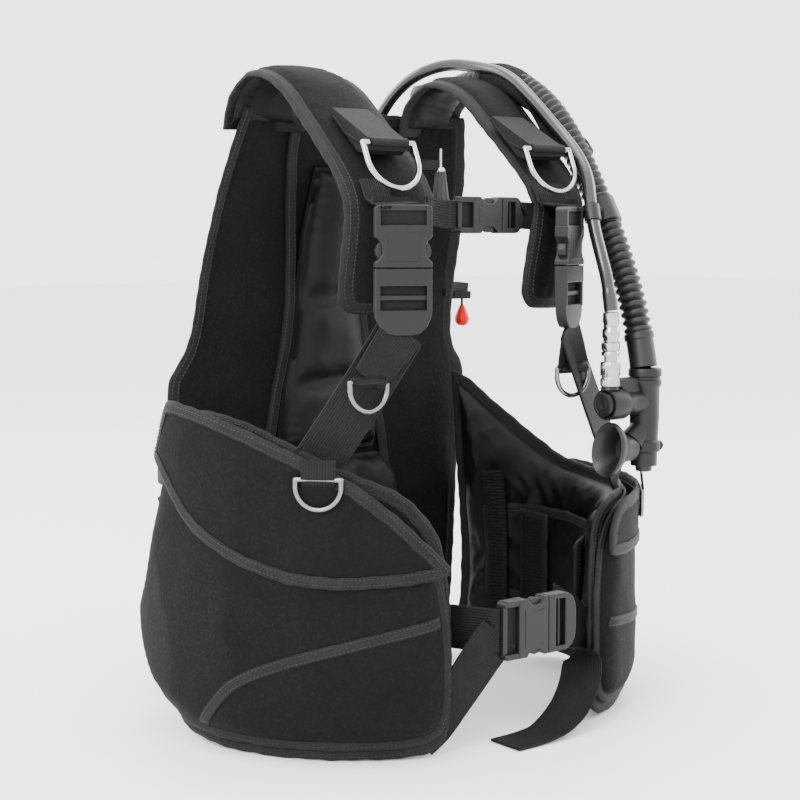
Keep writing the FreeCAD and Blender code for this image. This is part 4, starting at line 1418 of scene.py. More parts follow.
@dataclass
class Back:
    """The yoke behind the wearer, its cushions, and the webbing on its rear."""

    half_widths: Sequence[Pair] = (
        (0.016, 0.150), (0.030, 0.168), (0.080, 0.176), (0.250, 0.180), (0.300, 0.186), (0.318, 0.184),
        (0.332, 0.173), (0.350, 0.164), (0.380, 0.160), (0.460, 0.157), (0.520, 0.148), (0.560, 0.139),
        (0.578, 0.134))

    def build(self) -> None:
        """Builds the yoke, the cushions and what the rear carries."""
        self.yoke()
        self.cushions()
        self.handle()
        self.plate()
        self.harness()
        self.elbow()
        self.tank_band()

    def yoke(self) -> None:
        """Sews the yoke with its bound edge and its raised bound inner line."""
        wide = [(height, half) for height, half in self.half_widths]
        narrow = [(height, -half) for height, half in self.half_widths]
        patch = Patch(Yoke(), narrow, wide, 0.0, -0.038, rim_lift=-0.006, seam=0.010, rise=0.028,
                      slim=(0.44, 0.54, 0.35), outer_folds=Folds(0.0016, 0.11, 0.3, 0.9, 41),
                      inner_folds=Folds(0.002, 0.1, 0.3, 1, 42), pucker=0.0006)
        panel = patch.build("yoke_panel", Finish.CLOTH, Finish.CLOTH)
        dress(panel, "vest", ["back_panel"])
        dress(patch.binding("yoke_binding", 0.011), "vest")
        for label, side in (("right", -1), ("left", 1)):
            line = [(0.560, side * 0.066), (0.53, side * 0.064), (0.50, side * 0.056), (0.44, side * 0.043),
                    (0.36, side * 0.046), (0.29, side * 0.064), (0.20, side * 0.078)]
            dress(patch.band(f"yoke_{label}_inner_tape", line, 0.012, 0.004), "vest")

    def cushions(self) -> None:
        """Stuffs the upper back pad and the quilted lumbar pad."""
        height = [(0.235, 0.058), (0.253, 0.064), (0.300, 0.056), (0.360, 0.042), (0.440, 0.036),
                  (0.525, 0.034)]
        patch = Patch(Yoke(wrap=0.010), [(z, -half) for z, half in height],
                      [(z, half) for z, half in height], 0.026, 0.001, rim_lift=0.003, seam=0.005, rise=0.030,
                      outer_folds=Folds(0.0018, 0.06, 0.2, 1.2, 51, 1.3), pucker=0.0010,
                      channels=[(0.009, [(0.30, -0.08), (0.315, 0.0), (0.30, 0.08)]),
                                (0.009, [(0.385, -0.08), (0.40, 0.0), (0.385, 0.08)])])
        pad = patch.build("back_cushion", Finish.LINING, Finish.LINING)
        dress(pad, "vest", ["back_pad"])
        low = [(0.060, 0.075), (0.090, 0.095), (0.203, 0.095), (0.229, 0.065)]
        patch = Patch(Yoke(wrap=0.0), [(z, -half) for z, half in low], [(z, half) for z, half in low],
                      0.024, 0.001, rim_lift=0.002, seam=0.004, rise=0.022,
                      outer_folds=Folds(0.0015, 0.05, 0.6, 1.0, 53, 1.3), pucker=0.0008,
                      channels=[(0.010, [(0.05, -0.034), (0.24, -0.034)]),
                                (0.010, [(0.05, 0.034), (0.24, 0.034)]),
                                (0.008, [(0.145, -0.1), (0.145, 0.1)])])
        pad = patch.build("lumbar_cushion", Finish.LINING, Finish.LINING)
        dress(pad, "vest", ["lumbar_pad"])

    def handle(self) -> None:
        """Folds the carry handle."""
        grip = RING_Y + 0.1514
        handle = strip("carry_handle_web", [(-0.054, grip, 0.482), (-0.054, grip, 0.520),
                                            (-0.030, grip, 0.534), (0.030, grip, 0.534),
                                            (0.054, grip, 0.520), (0.054, grip, 0.482)],
                       [(1, 0, 0), (0.6, 0, -1), (0, 0, -1), (0, 0, -1), (-0.6, 0, -1), (-1, 0, 0)],
                       0.012, 0.004)
        dress(handle, "vest", ["carry_handle"])

    def plate(self) -> None:
        """Moulds the ribs, the rim and the bars on the backpack plate."""
        origin, across, up = at(0.0, 0.1654, 0.0), (-1, 0, 0), (0, 0, 1)
        pieces = []
        for side in (-1, 1):
            shapes = [(f"rib_{x}", [(x, 0.290), (x + 0.005, 0.290), (x + 0.005, 0.415 - x * 0.2),
                                    (x, 0.415 - x * 0.2)], 0.005, 0.0015) for x in (0.030, 0.052, 0.074)]
            shapes.append(("rim", [(0.103, 0.160), (0.1095, 0.160), (0.1095, 0.418), (0.103, 0.414)],
                           0.008, 0.001))
            shapes.append(("foot", [(0.082, 0.1315), (0.086, 0.1315), (0.108, 0.156), (0.104, 0.158)],
                           0.008, 0.001))
            for label, outline, thick, offset in shapes:
                pieces.append(slab(f"plate_{label}_{side}", [(side * x, z) for x, z in outline], origin,
                                   across, up, thick, offset=offset))
        for low, high, half in ((0.4305, 0.4365, 0.046), (0.4635, 0.4695, 0.046), (0.272, 0.279, 0.090)):
            pieces.append(slab(f"plate_bar_{low}", [(-half, low), (half, low), (half, high), (-half, high)],
                               origin, across, up, 0.006, offset=0.0015))
        dress(join("plate_ribs", pieces), "vest")

    def harness(self) -> None:
        """Sews the plate's harness to the yoke, and the tab that holds the red knob."""
        webs = []
        for side in (-1, 1):
            webs.append(strip(f"harness_{side}", [
                at(side * 0.095, 0.1425, 0.360), at(side * 0.095, 0.1375, 0.420),
                at(side * 0.094, 0.1250, 0.460), at(side * 0.092, 0.1000, 0.500),
                at(side * 0.090, 0.0790, 0.535)],
                [(1, 0, 0), (1, 0, 0)], 0.030, 0.0026))
            webs.append(strip(f"harness_foot_{side}", [
                at(side * 0.112, 0.1470, 0.205), at(side * 0.150, 0.1470, 0.190),
                at(side * 0.172, 0.1420, 0.180)], [(0, 0, 1), (0, 0, 1)], 0.038, 0.0026))
        dress(join("rear_harness", webs), "vest")
        tab = strip("knob_tab", [at(0.150, 0.092, 0.400), at(0.168, 0.101, 0.399), at(0.186, 0.105, 0.398),
                                 at(0.193, 0.106, 0.397)], [(0, 0, 1), (0, 0, 1)], 0.016, 0.0030)
        dress(tab, "vest")

    def elbow(self) -> None:
        """Moulds the elbow that lets the hose into the back."""
        elbow = spin("elbow_moulding", at(0.148, 0.125, 0.5052), (0, 0, 1), [
            (0.0, 0.0100), (0.0, 0.0200), (0.006, 0.0210), (0.010, 0.0190), (0.014, 0.0180), (0.060, 0.0160),
            (0.064, 0.0178), (0.070, 0.0178), (0.074, 0.0155), (0.090, 0.0150), (0.104, 0.0160),
            (0.112, 0.0120), (0.115, 0.0001)], Finish.RUBBER)
        mouth = spin("elbow_mouth", at(0.148, 0.126, 0.603), (0, -1, 0), [
            (0.0, 0.0150), (0.010, 0.0155), (0.012, 0.0172), (0.024, 0.0172), (0.026, 0.0162),
            (0.034, 0.0160), (0.034, 0.0125)], Finish.RUBBER)
        foot = spin("elbow_foot", at(0.150, 0.128, 0.540), (-0.42, -0.86, -0.30), [
            (0.0, 0.0100), (0.0, 0.0150), (0.030, 0.0150), (0.036, 0.0170), (0.044, 0.0240), (0.050, 0.0290),
            (0.060, 0.0290), (0.060, 0.0100)], Finish.RUBBER)
        dress(join("hose_elbow_moulding", [elbow, mouth, foot]), "vest", ["hose_elbow"])

    def tank_band(self) -> None:
        """Closes the webbing band that holds the tank."""
        middle, radius, thick = (0.0, 0.1967), 0.0933, 0.0024
        turns = np.linspace(0, 2 * math.pi, 160, endpoint=False)
        rings = []
        for turn in turns:
            way = np.array([math.cos(turn), math.sin(turn), 0.0])
            spot = np.array([middle[0], middle[1], 0.210]) + way * radius
            rings.append([spot + way * out + np.array([0, 0, up]) for out, up in (
                (-thick / 2, -0.0248), (thick / 2, -0.0248), (thick * 0.55, 0.0), (thick / 2, 0.0248),
                (-thick / 2, 0.0248))])
        band = sweep("tank_band_web", np.array(rings), Finish.WEBBING, closed=True)
        set_normals_out(band)
        dress(band, "vest", ["tank_band"])


@dataclass
class Shoulder:
    """One shoulder strap with its bindings, its webbing and its stitching."""

    side: int
    name: str
    inner: float
    outer: float
    buckle_x: float
    ring_x: float
    tail_x: float
    foot: Triple
    seed: int
    profile: Sequence[Pair] = (
        (0.068, 0.560), (0.064, 0.576), (0.055, 0.594), (0.037, 0.609),
        (0.010, 0.620), (-0.040, 0.606), (-0.084, 0.567), (-0.150, 0.508), (-0.161, 0.470), (-0.146, 0.388))
    thick: float = 0.016
    turn: float = BUCKLE_TURN

    def build(self) -> None:
        """Builds the strap and everything sewn on it."""
        self.strap()
        self.ring_tab()
        self.lower_webbing()
        self.chest_tail()

    def strap(self) -> None:
        """Pads the strap, tapers its tip and binds its edges."""
        middle = self.side * (self.inner + self.outer) / 2
        half = (self.outer - self.inner) / 2
        runner = Runner(self.profile, middle, 0.005, half, 0.30)
        end = runner.run[-1]
        tip_in, tip_out = sorted((self.side * (self.buckle_x - 0.030), self.side * (self.buckle_x + 0.030)))
        low_x, high_x = sorted((self.side * self.inner, self.side * self.outer))
        turn = runner.at_height(0.500)
        low = [(0.0, low_x), (turn, low_x), (turn + 0.035, (low_x + tip_in) / 2), (end - 0.02, tip_in),
               (end - 0.004, tip_in + 0.006), (end, tip_in + 0.014)]
        high = [(0.0, high_x), (turn, high_x), (turn + 0.035, (high_x + tip_out) / 2),
                (end - 0.02, tip_out), (end - 0.004, tip_out - 0.006), (end, tip_out - 0.014)]
        patch = Patch(runner, low, high, -0.0002, -self.thick, rim_lift=-0.006, seam=0.010, rise=0.016,
                      outer_folds=Folds(0.0010, 0.07, 0.2, 0.8, self.seed), pucker=0.0007, thin=0.0018,
                      inner_folds=Folds(0.0016, 0.05, 0.2, 0.9, self.seed + 1), cell=0.0036)
        self.patch, self.runner = patch, runner
        pad = patch.build(f"{self.name}_strap_pad", Finish.CLOTH, Finish.LINING)
        dress(pad, "vest", [f"{self.name}_shoulder_strap"])
        dress(patch.binding(f"{self.name}_strap_binding", 0.011), "vest")

    def on_strap(self, height: float, x: float, lift: float) -> tuple[float, float, float]:
        """A point over the strap's front face.

        Args:
            height: The height to look for.
            x: The distance across the vest.
            lift: The distance off the face.

        Returns:
            The point in the row frame.
        """
        first = np.array([self.runner.at_height(height)])
        second = np.array([x])
        spot = np.stack((first, second), 1)
        face = self.patch.lifts(spot)[0]
        return tuple(self.runner.place(first, second, face + lift)[0])

    def ring_tab(self) -> None:
        """Sews the webbing that holds the big ring and runs on to the buckle."""
        x = self.side * self.ring_x
        heights = (0.5625, 0.557, 0.551, 0.545)
        line = [self.on_strap(height, x, 0.0022) for height in heights]
        line.append((x, RING_Y - 0.1465, 0.5325))
        tab = strip(f"{self.name}_ring_tab", line, [(1, 0, 0), (1, 0, 0)], 0.042, 0.003)
        dress(tab, "vest")
        line = [self.on_strap(height, self.side * self.buckle_x, 0.0006)
                for height in (0.506, 0.500, 0.494, 0.488)]
        line.append((self.side * self.buckle_x, RING_Y - 0.1790, 0.4830))
        way = (math.cos(self.turn), self.side * math.sin(self.turn), 0.0)
        run = strip(f"{self.name}_buckle_web", line, [(1, 0, 0), (1, 0, 0), way], 0.040, 0.0026)
        dress(run, "vest")

    def lower_webbing(self) -> None:
        """Hangs the webbing from the buckle's ladder to the lobe."""
        start = (self.side * self.buckle_x, RING_Y - 0.1765, 0.3740)
        foot = self.foot
        way = np.array(foot) - np.array(start)
        outward = [-math.sin(self.turn), self.side * math.cos(self.turn), 0]
        lean = unit(np.cross(way, outward))
        lean = lean * np.sign(lean[0])
        across = (math.cos(self.turn), self.side * math.sin(self.turn), 0)
        line = [start, tuple(np.array(start) + way * 0.35), tuple(np.array(start) + way * 0.7), foot]
        web = strip(f"{self.name}_lower_web", line, [across, tuple(lean)], 0.044, 0.0024, sag=0.002)
        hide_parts(f"{self.name}_lower_webbing")
        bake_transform(web)
        log.info("%s blends from the lobe to the buckle", web.name)

    def chest_tail(self) -> None:
        """Hangs the loose tail that carries the small ring."""
        body = f"{self.name}_shoulder_release"
        start = (self.side * self.buckle_x, RING_Y - 0.1815, 0.3760)
        end = (self.side * self.tail_x, RING_Y - 0.1712, 0.3345)
        line = [start, tuple((np.array(start) + np.array(end)) / 2), end]
        across = (math.cos(self.turn), self.side * math.sin(self.turn), 0)
        tail = strip(f"{self.name}_tail_web", line, [across, (1, 0, 0)], 0.038, 0.0024)
        loop_at = (end[0] - 0.017, RING_Y - 0.1710, 0.333)
        loop = spin(f"{self.name}_tail_loop", loop_at, (1, 0, 0), [
            (0.0, 0.0024), (0.0, 0.0042), (0.001, 0.0045), (0.033, 0.0045), (0.034, 0.0042),
            (0.034, 0.0024)], Finish.WEBBING)
        piece = join(f"{self.name}_tail_web", [tail, loop])
        dress(piece, body, [f"{self.name}_chest_tail"])


@dataclass
class SideRelease:
    """A side-release buckle: a ported socket, a ladder-lock plug and two spring arms."""

    name: str
    mouth: Triple
    across: Triple
    up: Triple
    wide: float
    thick: float
    socket: float
    plug: float
    socket_body: str
    plug_body: str

    def part(self, label: str, outline: Sequence[Pair], share: float = 1.0,
             finish: Finish = Finish.ACETAL, edge: float = 0.0012, offset: float = 0.0
             ) -> bpy.types.Object:
        """Makes one plate of the buckle."""
        return slab(f"{self.name}_{label}", outline, self.mouth, self.across, self.up,
                    self.thick * share, finish, offset, edge)

    def build(self) -> None:
        """Builds the socket, the plug and the arms."""
        half, tall, low = self.wide / 2, self.socket, self.plug
        notch = [(half, 0.0003), (half, 0.09 * tall), (half - 0.0035, 0.14 * tall),
                 (half - 0.0060, 0.22 * tall), (half - 0.0060, 0.36 * tall), (half - 0.0035, 0.44 * tall),
                 (half, 0.49 * tall), (half, 0.68 * tall)]
        plate = notch + [(-x, z) for x, z in reversed(notch)]
        socket = [self.part("socket_plate", plate, 1.0)]
        for side in (-1, 1):
            socket.append(self.part(f"socket_rail{side}", [
                (side * half, 0.66 * tall), (side * half, 0.95 * tall), (side * (half - 0.003), 0.995 * tall),
                (side * (half - 0.0055), 0.995 * tall), (side * (half - 0.0055), 0.66 * tall)], 0.92))
        socket.append(self.part("socket_bar", [(-half + 0.002, 0.90 * tall), (half - 0.002, 0.90 * tall),
                                               (half - 0.003, tall), (-half + 0.003, tall)], 0.62))
        socket.append(self.part("socket_web", [
            (-half + 0.005, 0.67 * tall), (half - 0.005, 0.67 * tall), (half - 0.005, 0.915 * tall),
            (-half + 0.005, 0.915 * tall)], 0.30, Finish.WEBBING, 0.0006))
        rim = [(half - 0.010, 0.10 * tall), (half - 0.012, 0.20 * tall), (half - 0.012, 0.40 * tall),
               (half - 0.009, 0.55 * tall)]
        socket.append(self.part("socket_panel", rim + [(-x, z) for x, z in reversed(rim)], 0.5,
                                offset=self.thick * 0.29, edge=0.0006))
        dress(join(f"{self.name}_socket_moulding", socket), self.socket_body,
              [f"{self.name}_socket"])
        body = [self.part("plug_shoulder", [(half, -0.0003), (half, -0.27 * low), (-half, -0.27 * low),
                                            (-half, -0.0003)], 0.96)]
        for side in (-1, 1):
            body.append(self.part(f"plug_rail{side}", [
                (side * half, -0.24 * low), (side * half, -0.66 * low),
                (side * (half - 0.0050), -0.66 * low), (side * (half - 0.0050), -0.24 * low)], 0.90))
        body.append(self.part("plug_bar", [(half - 0.002, -0.40 * low), (half - 0.002, -0.48 * low),
                                           (-half + 0.002, -0.48 * low), (-half + 0.002, -0.40 * low)],
                              0.5))
        tip = [(half, -0.62 * low), (half - 0.0008, -0.74 * low), (half - 0.0045, -0.88 * low),
               (half - 0.0110, -0.975 * low), (half - 0.0180, -low)]
        body.append(self.part("plug_tip", tip + [(-x, z) for x, z in reversed(tip)], 0.80))
        body.append(self.part("plug_web", [
            (half - 0.0050, -0.26 * low), (half - 0.0050, -0.64 * low), (-half + 0.0050, -0.64 * low),
            (-half + 0.0050, -0.26 * low)], 0.24, Finish.WEBBING, 0.0006, -self.thick * 0.12))
        dress(join(f"{self.name}_plug_moulding", body), self.plug_body,
              [f"{self.name}_plug"])
        arms = []
        for side in (-1, 1):
            arms.append(self.part(f"arm{side}", [
                (side * (half - 0.0095), -0.002), (side * (half - 0.0050), -0.002),
                (side * (half - 0.0042), 0.13 * tall), (side * (half - 0.0015), 0.19 * tall),
                (side * (half - 0.0006), 0.27 * tall), (side * (half - 0.0022), 0.37 * tall),
                (side * (half - 0.0060), 0.43 * tall), (side * (half - 0.0095), 0.40 * tall)], 0.55,
                edge=0.0008))
        dress(join(f"{self.name}_spring_arms", arms), self.plug_body,
              [f"{self.name}_prongs"])


@dataclass
class Inflator:
    """The inflator head: its moulding, buttons, mouthpiece and quick-disconnect coupling."""

    column: Pair = (0.150, -0.207)
    feed: Pair = (0.104, -0.207)
    barrel_level: float = 0.301
    mouth_level: float = 0.258

    def build(self) -> None:
        """Builds every piece of the head."""
        x, y = self.column
        top = at(x, y, 0.3325)
        column = spin("head_column", top, (0, 0, -1), [
            (0.0, 0.0128), (0.0, 0.0150), (0.002, 0.0158), (0.007, 0.0158), (0.008, 0.0146), (0.010, 0.0146),
            (0.011, 0.0158), (0.016, 0.0158), (0.0175, 0.0142), (0.046, 0.0140), (0.064, 0.0132),
            (0.068, 0.0132), (0.0695, 0.0152), (0.0785, 0.0152), (0.080, 0.0128), (0.0925, 0.0126),
            (0.0925, 0.0100)], Finish.ACETAL)
        barrel = spin("head_barrel", at(x, y, self.barrel_level), (-1, 0, 0), [
            (0.0, 0.0130), (0.020, 0.0118), (0.028, 0.0122), (0.031, 0.0146), (0.033, 0.0150),
            (0.050, 0.0150), (0.052, 0.0145), (0.052, 0.0126), (0.038, 0.0125)], Finish.ACETAL)
        bridge = slab("head_bridge", [(0.006, -0.010), (0.034, -0.010), (0.034, 0.012),
                                      (-0.004, 0.012), (-0.004, 0.0025), (0.006, 0.0025)],
                      at(x - 0.042, y, self.barrel_level + 0.012), (1, 0, 0), (0, 0, 1), 0.012, edge=0.003)
        neck = horn("head_neck", at(self.feed[0], y, self.barrel_level + 0.0137), (0, 0, 1), (1, 0, 0), [
            (0.0, 0.0090, 0.0090), (0.004, 0.0078, 0.0078), (0.0098, 0.0078, 0.0078)], Finish.ACETAL)
        duct = horn("head_duct", at(x + 0.004, y, self.barrel_level - 0.020), (-0.62, 0, -0.55), (0, 1, 0), [
            (0.0, 0.0115, 0.0125), (0.016, 0.0110, 0.0120), (0.028, 0.0112, 0.0140)], Finish.ACETAL)
        boss = slab("head_boss", [(0.0, -0.0045), (0.017, -0.0045), (0.0195, 0.0), (0.017, 0.0045),
                                  (0.0, 0.0045)], at(x, y, 0.2585), (0.8, -0.3, 0), (0, 0, 1), 0.007)
        body = join("inflator_moulding", [column, barrel, bridge, neck, duct, boss])
        dress(body, "inflator", ["inflator_body"])
        self.mouth()
        self.buttons()
        self.coupling()

    def mouth(self) -> None:
        """Flares the oval rubber mouthpiece."""
        horn_stations = [(0.0, 0.0115, 0.0125), (0.009, 0.0118, 0.0135), (0.016, 0.0135, 0.0165),
                         (0.022, 0.0172, 0.0225), (0.0275, 0.0198, 0.0265), (0.0310, 0.0200, 0.0268),
                         (0.0325, 0.0188, 0.0256), (0.0305, 0.0160, 0.0226), (0.024, 0.0118, 0.0170),
                         (0.012, 0.0078, 0.0105), (0.010, 0.0002, 0.0002)]
        piece = horn("mouthpiece_rubber", at(0.1325, self.column[1], self.mouth_level), (-1, 0, 0),
                     (0, 0.94, 0.34), horn_stations, Finish.RUBBER)
        dress(piece, "inflator", ["mouthpiece"])

    def buttons(self) -> None:
        """Makes the inflate and deflate buttons."""
        x, y = self.column
        button = spin("inflate_button_cap", at(0.1030, y, self.barrel_level), (-1, 0, 0), [
            (0.0, 0.0114), (0.0075, 0.0117), (0.0092, 0.0112), (0.0096, 0.0095), (0.0086, 0.0088),
            (0.0086, 0.0062), (0.0098, 0.0056), (0.0098, 0.0030), (0.0092, 0.0001)], Finish.ACETAL)
        dress(button, "inflate_button", ["inflate_button"])
        button = spin("deflate_button_cap", at(x, y, 0.2470), (0, 0, -1), [
            (0.0, 0.0078), (0.011, 0.0079), (0.0125, 0.0072), (0.013, 0.0050), (0.0124, 0.0001)],
            Finish.RUBBER)
        dress(button, "deflate_button", ["deflate_button"])

    def coupling(self) -> None:
        """Turns the plated coupling and its knurled sleeve."""
        x, y = self.feed
        stem = spin("quick_connect_metal", at(x, y, 0.3462), (0, 0, 1), [
            (-0.0060, 0.0050), (-0.0060, 0.0060), (-0.0002, 0.0060), (0.0, 0.0082),
            (0.003, 0.0086), (0.0045, 0.0074), (0.006, 0.0086), (0.012, 0.0088),
            (0.0135, 0.0070), (0.016, 0.0070), (0.0175, 0.0082), (0.024, 0.0082),
            (0.0255, 0.0070), (0.030, 0.0070), (0.031, 0.0078), (0.0400, 0.0076), (0.0410, 0.0064)],
            Finish.PLATED)
        dress(stem, "inflator", ["lp_quick_connect"])
        sleeve = horn("coupling_sleeve", at(x, y, 0.3172), (0, 0, 1), (1, 0, 0), [
            (0.0, 0.0078, 0.0078), (0.001, 0.0092, 0.0092), (0.007, 0.0094, 0.0094), (0.008, 0.0082, 0.0082),
            (0.010, 0.0082, 0.0082), (0.011, 0.0094, 0.0094), (0.022, 0.0094, 0.0094),
            (0.0236, 0.0084, 0.0084), (0.0236, 0.0062, 0.0062)], Finish.PLATED, 24, 0.05)
        dress(sleeve, "qd_sleeve", ["qd_sleeve"])


@dataclass
class Pulls:
    """The chest toggle, the red knob and the dump valves that they work."""

    def build(self) -> None:
        """Builds the pulls and the valves."""
        cone = horn("toggle_cone", at(-0.0385, -0.131, 0.4812), (0, 0, 1), (1, 0, 0), [
            (0.0, 0.0070, 0.0070), (0.0005, 0.0090, 0.0090), (0.006, 0.0092, 0.0092), (0.010, 0.0078, 0.0078),
            (0.028, 0.0054, 0.0054), (0.0335, 0.0050, 0.0050), (0.0345, 0.0030, 0.0030)], Finish.RUBBER,
            10, 0.16)
        cap = spin("toggle_cap", at(-0.0385, -0.131, 0.5145), (0, 0, 1), [
            (0.0, 0.0040), (0.0025, 0.0042), (0.004, 0.0030), (0.0045, 0.0013), (0.021, 0.0013)],
            Finish.PLATED)
        dress(join("dump_toggle_grip", [cone, cap]), "dump_toggle", ["dump_toggle"])
        ball = horn("knob_ball", at(0.185, 0.105, 0.3580), (0, 0, 1), (1, 0, 0), [
            (0.0, 0.0020, 0.0020), (0.0012, 0.0055, 0.0055), (0.005, 0.0078, 0.0078),
            (0.009, 0.0080, 0.0080), (0.014, 0.0062, 0.0062), (0.019, 0.0040, 0.0040),
            (0.022, 0.0030, 0.0030)], Finish.RED, 8, 0.06)
        cord = spin("knob_cord", at(0.185, 0.105, 0.3800), (0, 0, 1), [
            (0.0, 0.0022), (0.002, 0.0014), (0.020, 0.0014)], Finish.RUBBER)
        dress(join("rear_dump_knob", [ball, cord]), "red_knob", ["red_knob"])
        valves = []
        for side in (-1, 1):
            base = at(side * 0.150, 0.1454, 0.060)
            valves.append(spin(f"valve_{side}", base, (0, 1, 0), [
                (0.0, 0.0270), (0.001, 0.0280), (0.006, 0.0280), (0.0075, 0.0262), (0.0095, 0.0262),
                (0.011, 0.0275), (0.0140, 0.0268), (0.0150, 0.0240), (0.0150, 0.0185), (0.0165, 0.0178),
                (0.0188, 0.0165), (0.0190, 0.0100), (0.0178, 0.0090), (0.0178, 0.0001)], Finish.ACETAL))
            valves.append(horn(f"valve_grip_{side}", at(side * 0.150, 0.1494, 0.060), (0, 1, 0), (1, 0, 0), [
                (0.0, 0.0282, 0.0282), (0.0065, 0.0282, 0.0282), (0.0072, 0.0270, 0.0270)], Finish.ACETAL,
                28, 0.05))
        dress(join("dump_valve_caps", valves), "vest", ["dump_valves"])


@dataclass
class Waist:
    """The elastic wings, the waist belt and the sternum strap."""

    level: float = 0.110
    depth: float = 0.224
    web: float = 0.040
    thick: float = 0.0024

    def build(self) -> None:
        """Builds the wings and the straps."""
        self.wings()
        self.belt()
        self.sternum()

    def wings(self) -> None:
        """Sews the ribbed elastic wings inside the lobes."""
        pieces = []
        for side in (-1, 1):
            ring = Round(side, 0.1806)
            low = ring.line([(23, 0.066), (27, 0.063), (110, 0.063), (113, 0.066)])
            high = ring.line([(23, 0.162), (27, 0.167), (110, 0.167), (113, 0.162)])
            patch = Patch(ring, low, high, 0.0036, -0.0036, seam=0.009, rise=0.006,
                          inner_folds=Folds(0.0026, 0.045, 0.6, 0.9, 61 + side, 1.3))
            pieces.append(patch.build(f"wing_{side}", Finish.LINING, Finish.LINING))
            pieces.append(patch.binding(f"wing_tape_{side}", 0.009))
        ring = Round(1, 0.1745)
        gather = Folds(0.0022, 0.0052, math.pi / 2, 0.04, 77)
        tab = Patch(ring, ring.line([(85, 0.058), (98, 0.058)]), ring.line([(85, 0.160), (98, 0.163)]),
                    0.0, -0.0040, seam=0.003, rise=0.004, cell=0.0020)
        pieces.append(tab.build("ribbed_tab", Finish.ELASTIC, Finish.ELASTIC))
        pieces.append(tab.binding("ribbed_tab_tape", 0.009))
        patch = Patch(ring, ring.line([(104, 0.030), (111, 0.030)]), ring.line([(104, 0.205), (111, 0.205)]),
                      0.0, -0.0030, seam=0.002, rise=0.003, inner_folds=gather, cell=0.0012)
        pieces.append(patch.build("gathered_strip", Finish.ELASTIC, Finish.ELASTIC))
        wings = join("cummerbund_cloth", pieces)
        dress(wings, "vest", ["cummerbund_wings"])

    def belt(self) -> None:
        """Runs the belt from the buckle to both sides and lets its tails down to the floor."""
        front = RING_Y - self.depth
        belt = strip("right_belt_web", [(-0.0455, front, self.level), (-0.060, front + 0.028, self.level),
                                        (-0.0715, front + 0.055, self.level)],
                     [(0, 0, 1), (0, 0, 1)], self.web, self.thick)
        tail = strip("right_belt_drop", [(-0.0440, front + 0.002, 0.108), (-0.056, front + 0.008, 0.092),
                                         (-0.076, front + 0.020, 0.056), (-0.098, front + 0.028, 0.026),
                                         (-0.110, front + 0.032, 0.0172)],
                     [(-0.10, 0, 1), (-0.45, 0.05, 0.85), (-0.72, 0.1, 0.62), (-0.8, 0.2, 0.5)],
                     self.web, self.thick)
        dress(join("right_belt_web", [belt, tail]), "vest", ["right_waist_webbing"])
        belt = strip("left_belt_web", [(0.0425, front, self.level), (0.056, front + 0.026, self.level),
                                       (0.0700, front + 0.0545, self.level)],
                     [(0, 0, 1), (0, 0, 1)], self.web, self.thick)
        tail = strip("left_belt_drop", [(0.0720, front + 0.048, 0.106), (0.083, front + 0.036, 0.086),
                                        (0.079, front + 0.022, 0.054), (0.058, front + 0.014, 0.024),
                                        (0.028, front + 0.012, 0.0050), (0.0, front + 0.012, 0.0016),
                                        (-0.028, front + 0.012, 0.0014)],
                     [(0.1, 0.1, 1), (0.2, 0.45, 0.85), (0, 0.9, 0.4), (0, 1, 0), (0, 1, 0)],
                     self.web, self.thick)
        web = join("left_belt_web", [belt, tail])
        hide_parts("left_waist_webbing")
        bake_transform(web)
        log.info("%s blends from the buckle to the lobe", web.name)

    def sternum(self) -> None:
        """Runs the sternum strap from its buckle to both shoulder straps."""
        depth = RING_Y - 0.151
        right = strip("right_sternum_web", [(-0.0375, depth, 0.476), (-0.055, depth, 0.477),
                                            (-0.075, depth - 0.004, 0.480)], [(0, 0, 1), (0, 0, 1)], 0.025)
        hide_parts("right_sternum_webbing")
        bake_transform(right)
        left = strip("left_sternum_web", [(0.0415, depth, 0.476), (0.060, depth, 0.475),
                                          (0.082, depth - 0.004, 0.470)], [(0, 0, 1), (0, 0, 1)], 0.025)
        dress(left, "vest", ["left_sternum_webbing"])


@dataclass
class Hardware:
    """The hard pieces that keep their own shape and get their finishes."""

    dark_rings: Sequence[str] = ("right_chest_ring", "left_chest_ring", "right_pocket_ring",
                                 "left_pocket_ring")
    rubber_nodes: Sequence[str] = ("dump_toggle", "mouthpiece")

    def build(self, nodes: dict[str, bpy.types.Object]) -> None:
        """Finishes every node that still shows.

        Args:
            nodes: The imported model's nodes by name.
        """
        for name, node in nodes.items():
            for slot in node.material_slots:
                finish = SLOT_FINISH[slot.material.name.split(".")[0]]
                if name in self.dark_rings:
                    finish = Finish.DARK_STEEL
                if name in self.rubber_nodes:
                    finish = Finish.RUBBER
                slot.material = finish.material
        log.info("finished %d nodes", len(nodes))


POCKET_LOW = ((15.6, 0.062), (16.0, 0.036), (19.0, 0.018), (25.4, 0.012), (60.0, 0.011), (76.0, 0.013),
              (84.0, 0.017), (91.0, 0.027), (98.0, 0.034), (105.0, 0.050), (109.5, 0.074), (111.5, 0.100))
"""A pocket's lower edge: angle from the front in degrees, then height."""

